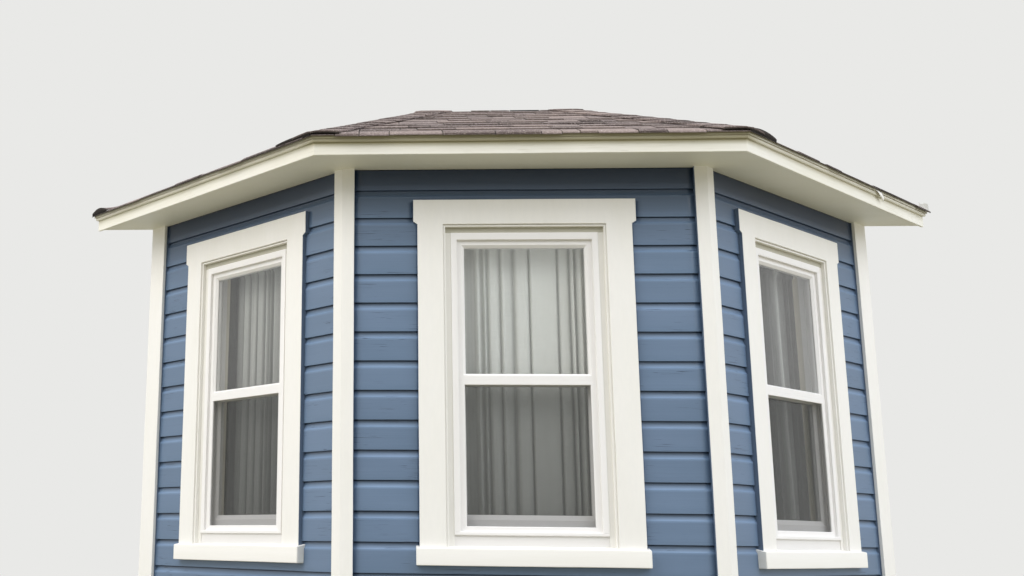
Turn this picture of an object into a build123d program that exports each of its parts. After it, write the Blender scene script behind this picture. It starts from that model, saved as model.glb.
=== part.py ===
from build123d import *
import os
from math import atan, cos, radians, sin, tan

os.makedirs("parts", exist_ok=True)

# Canted bay window: three walls in plan, 45 degrees at each front corner.
# Millimetres. X runs along the house wall, the house wall is the plane Y = 0,
# the bay stands out toward -Y, Z is up and the ground is Z = 0.
# An "offset" is the distance outward from the finished face of the siding.
# The eaves flare: they overhang a little more at the front corners than at the house.
# Only at export does the part move along Y, to put its origin mid-depth.

# Plan
FRONT_WIDTH = 1578.0
PROJECTION = 1042.0
CANT_ANGLE = 45.0
EAVE_FRONT_WIDTH = 1617.0
EAVE_CANT_ANGLE = 45.86

# Walls and cladding
SIDING_THICKNESS = 19.0
WALL_THICKNESS = 140.0
COURSE = 127.0
FIRST_COURSE_Z = 704.4
COVE_HEIGHT = 30.0
COVE_DEPTH = 10.0
COVE_CURVE = 2.6
COVE_STEPS = 5
BUTT_SLOPE = 1.5
TRIM_STANDOUT = 19.0

# Levels
FOUNDATION_TOP = 600.0
SKIRT_BOTTOM = 554.0
JOIST_DEPTH = 190.0
FLOOR_THICKNESS = 22.0
SOFFIT_Z = 3213.0
CEILING_THICKNESS = 12.0

# Foundation and floor
FOUNDATION_THICKNESS = 200.0
JOIST_WIDTH = 38.0
JOIST_SPACING = 400.0
JOISTS_EACH_SIDE = 3

# Skirt board with its sloping cap
SKIRT_STANDOUT = 3.0
SKIRT_CAP_STANDOUT = 25.0
SKIRT_CAP_BOTTOM = 690.0
SKIRT_CAP_NOSE = 697.0

# Corner boards
FRONT_LEG = 55.0
SIDE_LEG = 52.0
WALL_BOARD_WIDTH = 114.0

# Windows, measured from the underside of the sill. The spans are over the casings.
SILL_BOTTOM = 1500.0
SIDE_WINDOW_FROM_HOUSE = 321.0
FRONT_CASING_SPAN = 930.0
SIDE_CASING_SPAN = 896.0
CASING_WIDTH = 112.0
CASING_TOP = 1568.0
HEAD_EAR = 18.0
EAR_CHAMFER = 12.0
LIP_GROOVE = 2.0
LIP_GROOVE_DEPTH = 6.0
LIP_WIDTH = 8.0
LIP_STANDOUT = 11.0
STOP_WIDTH = 34.0
STOP_THICKNESS = 12.0
SILL_EAR = 14.0
SILL_HEIGHT = 70.0
SILL_STANDOUT = 38.0
SILL_SLOPE = 12.0
SILL_BACK_BOTTOM = 40.0
FRAME_SETBACK = 3.0
FRAME_BACK = 108.0
FRAME_FACE = 26.0
FRAME_HEAD = 32.0
FRAME_NOSE_BOTTOM = 123.0
FRAME_NOSE_DEPTH = 8.0
FRAME_NOSE_TOP = 139.0
TRACK_DEPTH = 7.0
SCREEN_SEAT = 131.0
SASH_SEAT = 142.0
OUTER_TRACK = 17.0
INNER_TRACK = 53.0
SASH_THICKNESS = 30.0
SASH_SIDE_CLEARANCE = 1.0
STILE_WIDTH = 38.0
TOP_RAIL = 40.0
BOTTOM_RAIL = 67.0
UPPER_SASH_BOTTOM = 775.0
LOWER_SASH_TOP = 802.0
UPPER_MEETING_RAIL = 27.0
LOWER_MEETING_RAIL = 50.0
GLASS_THICKNESS = 4.0
GLASS_SETBACK = 13.0
GLASS_GROOVE = 8.0
SCREEN_THICKNESS = 10.0
SCREEN_STILE = 33.0
SCREEN_BOTTOM_BAR = 30.0
SCREEN_TOP_BAR = 22.0
SCREEN_TOP_CLEARANCE = 1.0
MESH_THICKNESS = 1.0

# Inside trim, curtain and rod
INNER_OPENING_BOTTOM = 100.0
STOOL_THICKNESS = 22.0
STOOL_DEPTH = 46.0
STOOL_HORN = 25.0
INNER_CASING_WIDTH = 85.0
INNER_CASING_THICKNESS = 18.0
APRON_HEIGHT = 80.0
APRON_THICKNESS = 15.0
ROD_RADIUS = 6.0
ROD_FROM_FRAME = 32.0
ROD_BELOW_OPENING = 30.0
CURTAIN_SIDE_CLEARANCE = 19.0
CURTAIN_DEPTH = 34.0
CURTAIN_ABOVE_STOOL = 6.0
CURTAIN_HEADING = 15.0
CURTAIN_ROD_CLEARANCE = 0.5

# Eaves and roof
FASCIA_FACE = 240.0
FASCIA_THICKNESS = 19.0
FASCIA_DRIP = 7.0
FASCIA_ABOVE_SOFFIT = 72.0
MOULD_THICKNESS = 12.0
MOULD_HEIGHT = 23.0
ROOF_RISE = 0.435
DECK_EDGE = 256.0
DECK_THICKNESS = 15.0
SHINGLE_EDGE = 272.0
SHINGLE_THICKNESS = 8.0
HIP_CAP_WIDTH = 125.0
HIP_CAP_THICKNESS = 7.0
ROOF_FRAME_WIDTH = 38.0
ROOF_FRAME_DEPTH = 90.0
ROOF_FRAME_SPACING = 400.0
ROOF_FRAMES_EACH_SIDE = 4
MITRE_GAP = 0.6

# How far a cutting shape reaches past what it cuts
MARGIN = 10.0
ROOF_MARGIN = 300.0
FAR = 6000.0

# Derived values
SHEATHING = -SIDING_THICKNESS
INSIDE = SHEATHING - WALL_THICKNESS
FLOOR_FRAME_TOP = FOUNDATION_TOP + JOIST_DEPTH
FLOOR_TOP = FLOOR_FRAME_TOP + FLOOR_THICKNESS
WALL_TOP = SOFFIT_Z + CEILING_THICKNESS
FASCIA_TOP = SOFFIT_Z + FASCIA_ABOVE_SOFFIT
HEAD_BOTTOM = CASING_TOP - CASING_WIDTH
OPENING_TOP = HEAD_BOTTOM - STOP_WIDTH
FRAME_LIGHT_TOP = OPENING_TOP - FRAME_HEAD
TRACK_TOP = FRAME_LIGHT_TOP + TRACK_DEPTH
INNER_FACE = SIDING_THICKNESS + WALL_THICKNESS
STOOL_TOP = INNER_OPENING_BOTTOM + STOOL_THICKNESS
DECK_RISE = DECK_THICKNESS / cos(atan(ROOF_RISE))
SHINGLE_RISE = SHINGLE_THICKNESS / cos(atan(ROOF_RISE))
CAP_RISE = HIP_CAP_THICKNESS / cos(atan(ROOF_RISE))
# The origin of the finished part is under the middle of its overall depth.
ORIGIN_SHIFT = (PROJECTION + SHINGLE_EDGE) / 2

SIDES = ("left", "front", "right")


class Plan:
    """Three lines in plan: a front, and two sides that slant back to the house wall."""

    def __init__(self, front_width, cant_angle):
        self.front_width = front_width
        self.cant_angle = cant_angle
        self.cant = radians(cant_angle)
        self.half_front = front_width / 2
        self.half_back = self.half_front + PROJECTION / tan(self.cant)
        self.side_length = PROJECTION / sin(self.cant)

    def ring(self, offset):
        """Corners at an offset: back left, front left, front right, back right."""
        back = self.half_back + offset / sin(self.cant)
        front = self.half_front + offset * tan(self.cant / 2)
        y = -PROJECTION - offset
        return [(-back, 0.0), (-front, y), (front, y), (back, 0.0)]

    def place(self, side, along=None):
        """Location whose X runs along a side, seen from outside, and whose Y points indoors."""
        number = SIDES.index(side)
        start, end = self.ring(0)[number], self.ring(0)[number + 1]
        turn = (-self.cant_angle, 0.0, self.cant_angle)[number]
        reach = self.front_width if side == "front" else self.side_length
        share = 0.5 if along is None else along / reach
        x = start[0] + (end[0] - start[0]) * share
        y = start[1] + (end[1] - start[1]) * share
        return Location((x, y, 0), (0, 0, turn))


class Window:
    """Half widths of one window, from the outside of its casing inwards."""

    def __init__(self, casing_span):
        self.casing = casing_span / 2
        self.casing_edge = self.casing - CASING_WIDTH
        self.opening = self.casing_edge - STOP_WIDTH
        self.light = self.opening - FRAME_FACE
        self.track = self.light + TRACK_DEPTH
        self.sash = self.track - SASH_SIDE_CLEARANCE
        self.curtain = self.opening - CURTAIN_SIDE_CLEARANCE


WALLS = Plan(FRONT_WIDTH, CANT_ANGLE)
EAVES = Plan(EAVE_FRONT_WIDTH, EAVE_CANT_ANGLE)
WINDOWS = {"left": Window(SIDE_CASING_SPAN), "front": Window(FRONT_CASING_SPAN), "right": Window(SIDE_CASING_SPAN)}


def polygon_solid(points, direction, amount):
    """Closed polygon of 3-D points, extruded along a direction."""
    face = Face(Wire.make_polygon([Vector(*p) for p in points], close=True))
    return extrude(face, amount=amount, dir=direction)


def prism(plan, bottom, top):
    """Upright prism over a plan polygon."""
    return polygon_solid([(x, y, bottom) for x, y in plan], (0, 0, 1), top - bottom)


def bounds_box(x, y, z):
    """Box from three (low, high) pairs."""
    size = [high - low for low, high in (x, y, z)]
    middle = [(high + low) / 2 for low, high in (x, y, z)]
    return Pos(*middle) * Box(*size)


def between(side, inside, outside):
    """Mitred plan of one side between two rings of corners."""
    start = SIDES.index(side)
    return [inside[start], outside[start], outside[start + 1], inside[start + 1]]


def wall_quad(side, inner, outer):
    """Mitred plan of one wall between two offsets."""
    return between(side, WALLS.ring(inner), WALLS.ring(outer))


def window_place(side):
    """Location of a window: middle of the casing, underside of the sill."""
    from_house = SIDE_WINDOW_FROM_HOUSE + WINDOWS[side].casing
    along = {"left": from_house, "front": FRONT_WIDTH / 2, "right": WALLS.side_length - from_house}[side]
    return Pos(0, 0, SILL_BOTTOM) * WALLS.place(side, along)


def mitre_plate(inner, outer):
    """Thin upright plate that parts two boards along the line between two plan points."""
    along = Vector(outer[0] - inner[0], outer[1] - inner[1]).normalized()
    side = Vector(-along.Y, along.X) * (MITRE_GAP / 2)
    start, end = Vector(*inner) - along * MARGIN, Vector(*outer) + along * MARGIN
    return prism([(p.X, p.Y) for p in (start - side, end - side, end + side, start + side)], 0, FAR)


def mitred(pieces, inside, outside):
    """Pieces parted at both front corners, as one compound."""
    for corner in (1, 2):
        plate = mitre_plate(inside[corner], outside[corner])
        pieces = [piece - plate for piece in pieces]
    return Compound(children=[solid for piece in pieces for solid in piece.solids()])


def run_along(side, section, plan=WALLS):
    """Board with a section of (offset, height) points, mitred at the front corners."""
    offsets, heights = [o for o, _ in section], [z for _, z in section]
    bar = plan.place(side) * polygon_solid([(-FAR / 2, -o, z) for o, z in section], (1, 0, 0), FAR)
    inside, outside = plan.ring(min(offsets) - MARGIN), plan.ring(max(offsets) + MARGIN)
    return bar & prism(between(side, inside, outside), min(heights) - MARGIN, max(heights) + MARGIN)


def boards_round(section, plan=WALLS):
    """The same board on all three sides, parted at the mitres."""
    offsets = [o for o, _ in section]
    return mitred([run_along(side, section, plan) for side in SIDES], plan.ring(min(offsets)), plan.ring(max(offsets)))


def deck_z(offset, lift=0.0):
    """Height of the underside of the roof deck at an offset, plus a lift."""
    return FASCIA_TOP + ROOF_RISE * (FASCIA_FACE - offset) + lift


def roof_points(edge, lift):
    """Corners of the roof plane: four along the eave, two along the house wall."""
    eave = [(x, y, deck_z(edge, lift)) for x, y in EAVES.ring(edge)]
    top = deck_z(-PROJECTION, lift)
    peak = EAVES.half_back - EAVES.side_length
    return eave, [(-peak, 0.0, top), (peak, 0.0, top)]


def roof_plane(side, edge, lift):
    """Outline of one roof plane."""
    eave, top = roof_points(edge, lift)
    if side == "front":
        return [eave[1], eave[2], top[1], top[0]]
    return [eave[0], eave[1], top[0]] if side == "left" else [eave[2], eave[3], top[1]]


def roof_layer(side, edge, lift, rise):
    """Slab that follows one roof plane, with plumb edges and mitres."""
    return polygon_solid(roof_plane(side, edge, lift), (0, 0, 1), rise)


def roof_space(edge, floor, drop):
    """Closed space between a level floor and the roof planes lowered by a drop."""
    space = prism(EAVES.ring(edge), floor, FAR)
    for side in SIDES:
        space = space - polygon_solid(roof_plane(side, edge + ROOF_MARGIN, -drop), (0, 0, 1), FAR)
    return space


def cove_points(face_top):
    """Hollow above a board's face: a sharp lip that curves back until it stands upright."""
    points = []
    for step in range(1, COVE_STEPS + 1):
        left = 1 - step / COVE_STEPS
        depth = BUTT_SLOPE + (COVE_DEPTH - BUTT_SLOPE) * (1 - left ** COVE_CURVE)
        points.append((-depth, face_top + COVE_HEIGHT * (1 - left)))
    return points


def siding_section():
    """Cove-lap profile of all courses as (offset, height) points, from the bottom up."""
    points = [(SHEATHING, FIRST_COURSE_Z)]
    bottom = FIRST_COURSE_Z
    while bottom < SOFFIT_Z:
        face_top = bottom + COURSE - COVE_HEIGHT
        course = [(0.0, bottom), (-BUTT_SLOPE, face_top)] + cove_points(face_top)
        points.extend((offset, min(height, SOFFIT_Z)) for offset, height in course)
        bottom += COURSE
    whole = [point for n, point in enumerate(points) if point[1] < SOFFIT_Z or points[n - 1][1] < SOFFIT_Z]
    return whole + [(SHEATHING, SOFFIT_Z)]


def sill_top(y):
    """Height of the sloping sill at a depth behind the siding face."""
    return SILL_HEIGHT + (y + SILL_STANDOUT) * tan(radians(SILL_SLOPE))


def across(half_width, section):
    """Bar across a window with a section of (depth, height) points."""
    return polygon_solid([(-half_width, y, z) for y, z in section], (1, 0, 0), 2 * half_width)


def below_sill(window):
    """Everything under the sloping top of the sill."""
    front, back = -SILL_STANDOUT - MARGIN, FRAME_BACK
    section = [(front, -MARGIN), (front, sill_top(front)), (back, sill_top(back)), (back, -MARGIN)]
    return across(window.casing + HEAD_EAR + MARGIN, section)


def window_sill(window):
    """Sill with a deep nose, ears past the casings, and a tail in the wall opening."""
    nose, back, tail = -SILL_STANDOUT, SIDING_THICKNESS, FRAME_BACK
    front = across(window.casing + SILL_EAR, [(nose, 0), (nose, SILL_HEIGHT), (back, sill_top(back)), (back, 0)])
    rear = across(window.opening, [(back, SILL_BACK_BOTTOM), (back, sill_top(back)),
                                   (tail, sill_top(tail)), (tail, SILL_BACK_BOTTOM)])
    return front + rear


def casing_outline(window):
    """Face outline of the outer casing, with the head board's ears, as (x, z) points."""
    side, ear = window.casing, window.casing + HEAD_EAR
    right = [(side, 0), (side, HEAD_BOTTOM), (ear, HEAD_BOTTOM + EAR_CHAMFER), (ear, CASING_TOP)]
    return right + [(-x, z) for x, z in reversed(right)]


def plate(points, front, back):
    """Plate with an outline of (x, z) points between two depths."""
    return polygon_solid([(x, front, z) for x, z in points], (0, 1, 0), back - front)


def doorway(half, top, front, back):
    """Upright box from below the sill up to a height."""
    return bounds_box((-half, half), (front, back), (-MARGIN, top))


def band(window, inset, width, front):
    """Three-sided band inside the casing, at an inset from its edge, with its face at a depth."""
    half, top = window.casing_edge - inset, HEAD_BOTTOM - inset
    inner = doorway(half - width, top - width, front - MARGIN, SIDING_THICKNESS + MARGIN)
    return doorway(half, top, front, SIDING_THICKNESS) - inner


def window_casing(window):
    """Side and head casings, the lip along their inner edge and the blind stop behind it."""
    casing = plate(casing_outline(window), -TRIM_STANDOUT, SIDING_THICKNESS)
    casing = casing - doorway(window.casing_edge, HEAD_BOTTOM, -TRIM_STANDOUT - MARGIN, SIDING_THICKNESS + MARGIN)
    casing = casing + band(window, 0, LIP_GROOVE + LIP_WIDTH, LIP_GROOVE_DEPTH - LIP_STANDOUT)
    casing = casing + band(window, LIP_GROOVE, LIP_WIDTH, -LIP_STANDOUT)
    casing = casing + band(window, 0, STOP_WIDTH, SIDING_THICKNESS - STOP_THICKNESS)
    return casing - below_sill(window)


def siding_cutout(window):
    """Hole in the siding for the casing and the sill."""
    front, back = -MARGIN, SIDING_THICKNESS + MARGIN
    sill = across(window.casing + SILL_EAR, [(front, 0), (front, sill_top(front)), (back, sill_top(back)), (back, 0)])
    return plate(casing_outline(window), front, back) + sill


def wall_cutout(window):
    """Opening through the wall, stepped up behind the frame."""
    half = (-window.opening, window.opening)
    outer = bounds_box(half, (0, FRAME_BACK), (SILL_BACK_BOTTOM, OPENING_TOP))
    return outer + bounds_box(half, (FRAME_BACK, INNER_FACE + MARGIN), (INNER_OPENING_BOTTOM, OPENING_TOP))


def window_frame(window):
    """Frame with stops and two sash tracks, scribed to the sloping sill."""
    half = (-window.opening, window.opening)
    frame = bounds_box(half, (FRAME_SETBACK, FRAME_BACK), (SILL_HEIGHT, OPENING_TOP))
    light = (-window.light, window.light)
    track = (-window.track, window.track)
    outer_back = OUTER_TRACK + SASH_THICKNESS
    inner_back = INNER_TRACK + SASH_THICKNESS
    below_nose = FRAME_SETBACK + FRAME_NOSE_DEPTH
    cuts = [
        (light, (FRAME_SETBACK - MARGIN, OUTER_TRACK), (FRAME_NOSE_TOP, FRAME_LIGHT_TOP)),
        (track, (OUTER_TRACK, outer_back), (SCREEN_SEAT, TRACK_TOP)),
        (light, (outer_back, INNER_TRACK), (SASH_SEAT, FRAME_LIGHT_TOP)),
        (track, (INNER_TRACK, inner_back), (SASH_SEAT, TRACK_TOP)),
        (light, (inner_back, FRAME_BACK + MARGIN), (SASH_SEAT, FRAME_LIGHT_TOP)),
        (half, (FRAME_SETBACK - MARGIN, below_nose), (0, FRAME_NOSE_BOTTOM)),
    ]
    for cut in cuts:
        frame = frame - bounds_box(*cut)
    return frame - below_sill(window)


def ring_frame(half, level, members, front, thickness):
    """Rectangular frame: level is (bottom, top), members is (stile, low rail, high rail)."""
    bottom, top = level
    stile, low_rail, high_rail = members
    body = bounds_box((-half, half), (front, front + thickness), level)
    hole = (front - MARGIN, front + thickness + MARGIN)
    return body - bounds_box((stile - half, half - stile), hole, (bottom + low_rail, top - high_rail))


def pane(window, level, members, front):
    """Glass that reaches into the grooves of a sash."""
    stile, low_rail, high_rail = members
    half = window.sash - stile + GLASS_GROOVE
    depth = front + GLASS_SETBACK
    low, high = level[0] + low_rail - GLASS_GROOVE, level[1] - high_rail + GLASS_GROOVE
    return bounds_box((-half, half), (depth, depth + GLASS_THICKNESS), (low, high))


def sash(window, level, members, front):
    """A sash with a groove for its pane."""
    return ring_frame(window.sash, level, members, front, SASH_THICKNESS) - pane(window, level, members, front)


def half_screen(window):
    """Insect screen below the upper sash, in the outer track."""
    level = (SCREEN_SEAT, UPPER_SASH_BOTTOM - SCREEN_TOP_CLEARANCE)
    members = (SCREEN_STILE, SCREEN_BOTTOM_BAR, SCREEN_TOP_BAR)
    frame = ring_frame(window.sash, level, members, OUTER_TRACK, SCREEN_THICKNESS)
    middle = OUTER_TRACK + (SCREEN_THICKNESS - MESH_THICKNESS) / 2
    inner = window.sash - SCREEN_STILE
    return frame + bounds_box((-inner, inner), (middle, middle + MESH_THICKNESS),
                              (level[0] + SCREEN_BOTTOM_BAR, level[1] - SCREEN_TOP_BAR))


def inner_trim(window):
    """Inside casing, stool and apron."""
    half = window.opening + INNER_CASING_WIDTH
    top = OPENING_TOP + INNER_CASING_WIDTH
    face = INNER_FACE + INNER_CASING_THICKNESS
    casing = bounds_box((-half, half), (INNER_FACE, face), (STOOL_TOP, top))
    casing = casing - doorway(window.opening, OPENING_TOP, 0, face + MARGIN)
    level = (INNER_OPENING_BOTTOM, STOOL_TOP)
    horns = half + STOOL_HORN
    stool = bounds_box((-horns, horns), (INNER_FACE, INNER_FACE + STOOL_DEPTH), level)
    stool = stool + bounds_box((-window.opening, window.opening), (FRAME_BACK, INNER_FACE), level)
    apron_low = INNER_OPENING_BOTTOM - APRON_HEIGHT
    apron = bounds_box((-half, half), (INNER_FACE, INNER_FACE + APRON_THICKNESS), (apron_low, INNER_OPENING_BOTTOM))
    return casing + stool + apron


def rod_bar(window, radius):
    """Round bar across the opening, on the rod's axis."""
    depth = FRAME_BACK + ROD_FROM_FRAME
    height = OPENING_TOP - ROD_BELOW_OPENING
    return Pos(0, depth, height) * Rot(0, 90, 0) * Cylinder(radius, 2 * window.opening)


def curtain(window):
    """Envelope of a gathered curtain with a pocket for its rod."""
    middle = FRAME_BACK + ROD_FROM_FRAME
    depth = (middle - CURTAIN_DEPTH / 2, middle + CURTAIN_DEPTH / 2)
    top = OPENING_TOP - ROD_BELOW_OPENING + CURTAIN_HEADING
    level = (STOOL_TOP + CURTAIN_ABOVE_STOOL, top)
    body = bounds_box((-window.curtain, window.curtain), depth, level)
    return body - rod_bar(window, ROD_RADIUS + CURTAIN_ROD_CLEARANCE)


def on_windows(make):
    """One kind of window piece at all three windows."""
    return Compound(children=[solid for side in SIDES
                              for solid in (window_place(side) * make(WINDOWS[side])).solids()])


def wall(side):
    """Framed wall with its window opening."""
    body = prism(wall_quad(side, INSIDE, SHEATHING), FOUNDATION_TOP, WALL_TOP)
    return body - window_place(side) * wall_cutout(WINDOWS[side])


def skirt_section():
    """Skirt board and its cap as (offset, height) points."""
    return [(SHEATHING, SKIRT_BOTTOM), (SKIRT_STANDOUT, SKIRT_BOTTOM), (SKIRT_STANDOUT, SKIRT_CAP_BOTTOM),
            (SKIRT_CAP_STANDOUT, SKIRT_CAP_BOTTOM), (SKIRT_CAP_STANDOUT, SKIRT_CAP_NOSE),
            (0.0, FIRST_COURSE_Z), (SHEATHING, FIRST_COURSE_Z)]


def mirror_plan(plan):
    """The same plan on the other side of the bay."""
    return [(-x, y) for x, y in plan]


def corner_board_plan():
    """Plan of the left front corner board, a bent board with two legs."""
    outer, inner = WALLS.ring(TRIM_STANDOUT)[1], WALLS.ring(SHEATHING)[1]
    thick = TRIM_STANDOUT + SIDING_THICKNESS
    c, s = cos(WALLS.cant), sin(WALLS.cant)
    side_end = (outer[0] - SIDE_LEG * c, outer[1] + SIDE_LEG * s)
    return [(outer[0] + FRONT_LEG, outer[1]), outer, side_end,
            (side_end[0] + thick * s, side_end[1] + thick * c), inner, (outer[0] + FRONT_LEG, inner[1])]


def wall_board_plan():
    """Plan of the left board against the house wall."""
    outer, inner = WALLS.ring(TRIM_STANDOUT)[0], WALLS.ring(SHEATHING)[0]
    thick = TRIM_STANDOUT + SIDING_THICKNESS
    c, s = cos(WALLS.cant), sin(WALLS.cant)
    end = (outer[0] + WALL_BOARD_WIDTH * c, outer[1] - WALL_BOARD_WIDTH * s)
    return [outer, end, (end[0] + thick * s, end[1] + thick * c), inner]


def upright_boards(plan, skirts):
    """A board and its mirror image, standing on the skirt's cap."""
    boards = []
    for shape in (plan, mirror_plan(plan)):
        board = prism(shape, SKIRT_CAP_BOTTOM, SOFFIT_Z)
        for skirt in skirts:
            board = board - skirt
        boards.extend(board.solids())
    return boards


def siding(side, section, boards):
    """Cladding of one wall, cut round the window and stopped at the corner boards."""
    panel = run_along(side, section) - window_place(side) * siding_cutout(WINDOWS[side])
    for board in boards:
        panel = panel - board
    return panel


def slabs_across(count, spacing, width):
    """Upright slabs in planes square to the house wall."""
    return [bounds_box((n * spacing - width / 2, n * spacing + width / 2), (-FAR, 0), (0, FAR))
            for n in range(-count, count + 1)]


def floor_joists():
    """Joists between the walls, square to the house wall."""
    space = prism(WALLS.ring(INSIDE), FOUNDATION_TOP, FLOOR_FRAME_TOP)
    slabs = slabs_across(JOISTS_EACH_SIDE, JOIST_SPACING, JOIST_WIDTH)
    return Compound(children=[solid for slab in slabs for solid in (space & slab).solids()])


def roof_frames():
    """Triangular frames that carry the deck."""
    outer = roof_space(FASCIA_FACE - FASCIA_THICKNESS, WALL_TOP, 0.0)
    drop = ROOF_FRAME_DEPTH / cos(atan(ROOF_RISE))
    inner = roof_space(FASCIA_FACE - FASCIA_THICKNESS, WALL_TOP + ROOF_FRAME_DEPTH, drop)
    inner = inner - bounds_box((-FAR, FAR), (-ROOF_FRAME_DEPTH, FAR), (0, FAR))
    webs = outer - inner
    slabs = slabs_across(ROOF_FRAMES_EACH_SIDE, ROOF_FRAME_SPACING, ROOF_FRAME_WIDTH)
    return Compound(children=[solid for slab in slabs for solid in (webs & slab).solids()])


def hip_cap(side_sign):
    """Two wings folded over a hip."""
    eave, top = roof_points(SHINGLE_EDGE, DECK_RISE + SHINGLE_RISE)
    low, high = (eave[1], top[0]) if side_sign < 0 else (eave[2], top[1])
    c, s = cos(EAVES.cant), sin(EAVES.cant)
    wings = []
    for dx, dy in ((-side_sign, 0.0), (side_sign * c, s)):
        shift = (dx * HIP_CAP_WIDTH, dy * HIP_CAP_WIDTH)
        moved = [(p[0] + shift[0], p[1] + shift[1], p[2]) for p in (high, low)]
        wings.append(polygon_solid([low, high] + moved, (0, 0, 1), CAP_RISE))
    cap = wings[0] + wings[1]
    return cap - bounds_box((-FAR, FAR), (0, FAR), (0, FAR))


def export(node, shape):
    """Write one node."""
    export_step(Pos(0, ORIGIN_SHIFT, 0) * shape, f"parts/{node}.step")


def build_structure():
    """Foundation, walls, floor and ceiling."""
    for side in SIDES:
        plan = wall_quad(side, SHEATHING - FOUNDATION_THICKNESS, SHEATHING)
        export(f"foundation_{side}", prism(plan, 0, FOUNDATION_TOP))
        export(f"wall_{side}", wall(side))
    export("floor_joists", floor_joists())
    export("floor_boards", prism(WALLS.ring(INSIDE), FLOOR_FRAME_TOP, FLOOR_TOP))
    export("ceiling", prism(WALLS.ring(INSIDE), SOFFIT_Z, WALL_TOP))


def build_cladding():
    """Skirt, corner boards and siding."""
    skirts = boards_round(skirt_section())
    corner = upright_boards(corner_board_plan(), skirts.solids())
    against_wall = upright_boards(wall_board_plan(), skirts.solids())
    export("skirt_boards", skirts)
    export("corner_boards", Compound(children=corner))
    export("wall_boards", Compound(children=against_wall))
    section = siding_section()
    for side in SIDES:
        export(f"siding_{side}", siding(side, section, corner + against_wall))


def build_windows():
    """Everything that the three windows share."""
    upper = ((UPPER_SASH_BOTTOM, TRACK_TOP), (STILE_WIDTH, UPPER_MEETING_RAIL, TOP_RAIL), OUTER_TRACK)
    lower = ((SASH_SEAT, LOWER_SASH_TOP), (STILE_WIDTH, BOTTOM_RAIL, LOWER_MEETING_RAIL), INNER_TRACK)
    pieces = {
        "window_casings": window_casing,
        "window_sills": window_sill,
        "window_frames": window_frame,
        "upper_sashes": lambda window: sash(window, *upper),
        "lower_sashes": lambda window: sash(window, *lower),
        "upper_panes": lambda window: pane(window, *upper),
        "lower_panes": lambda window: pane(window, *lower),
        "insect_screens": half_screen,
        "inner_trims": inner_trim,
        "curtain_rods": lambda window: rod_bar(window, ROD_RADIUS),
    }
    for node, make in pieces.items():
        export(node, on_windows(make))
    for side in SIDES:
        export(f"curtain_{side}", window_place(side) * curtain(WINDOWS[side]))


def build_roof():
    """Eaves, frames, deck, shingles and hip caps."""
    inner = FASCIA_FACE - FASCIA_THICKNESS
    rings = (WALLS.ring(SHEATHING), EAVES.ring(inner))
    export("soffit_boards", mitred([prism(between(side, *rings), SOFFIT_Z, WALL_TOP) for side in SIDES], *rings))
    low = SOFFIT_Z - FASCIA_DRIP
    fascia = [(inner, low), (FASCIA_FACE, low), (FASCIA_FACE, deck_z(FASCIA_FACE)), (inner, deck_z(inner))]
    export("fascia_boards", boards_round(fascia, EAVES))
    outer, foot = FASCIA_FACE + MOULD_THICKNESS, FASCIA_TOP - MOULD_HEIGHT
    mould = [(FASCIA_FACE, foot), (outer, foot), (outer, deck_z(outer)), (FASCIA_FACE, deck_z(FASCIA_FACE))]
    export("eave_mouldings", boards_round(mould, EAVES))
    export("roof_frames", roof_frames())
    for side in SIDES:
        export(f"roof_deck_{side}", roof_layer(side, DECK_EDGE, 0.0, DECK_RISE))
        export(f"shingles_{side}", roof_layer(side, SHINGLE_EDGE, DECK_RISE, SHINGLE_RISE))
    caps = [solid for sign in (-1, 1) for solid in hip_cap(sign).solids()]
    export("hip_caps", Compound(children=caps))


build_structure()
build_cladding()
build_windows()
build_roof()
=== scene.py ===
import logging
import math
from dataclasses import dataclass, field
from enum import Enum
from typing import Optional, Sequence, Union

import bmesh
import bpy
import numpy as np
from mathutils import Matrix


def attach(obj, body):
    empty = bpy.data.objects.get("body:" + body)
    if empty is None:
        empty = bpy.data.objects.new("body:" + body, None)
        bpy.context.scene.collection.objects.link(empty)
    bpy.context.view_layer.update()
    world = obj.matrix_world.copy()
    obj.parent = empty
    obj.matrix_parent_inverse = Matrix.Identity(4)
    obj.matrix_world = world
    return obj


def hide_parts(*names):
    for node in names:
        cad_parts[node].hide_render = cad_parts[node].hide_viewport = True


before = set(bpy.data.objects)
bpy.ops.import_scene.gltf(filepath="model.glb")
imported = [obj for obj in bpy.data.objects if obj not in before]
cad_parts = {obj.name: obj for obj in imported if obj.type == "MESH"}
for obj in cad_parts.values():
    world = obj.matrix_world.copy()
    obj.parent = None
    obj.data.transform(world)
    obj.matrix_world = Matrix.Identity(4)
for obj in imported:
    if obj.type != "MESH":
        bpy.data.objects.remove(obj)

LOG = logging.getLogger("bay_window")
BODY = "root"
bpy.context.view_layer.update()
Number = Union[float, np.ndarray]
TINY = 1e-4


class Side(Enum):
    """The three walls of the bay, from left to right as seen from outside."""

    LEFT = 0
    FRONT = 1
    RIGHT = 2

    @property
    def label(self) -> str:
        """Its name in node and piece names."""
        return self.name.lower()


class Follow(Enum):
    """What a pattern follows: the piece's own map in metres, or its place in the object."""

    UV = "UV"
    OBJECT = "Object"


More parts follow.
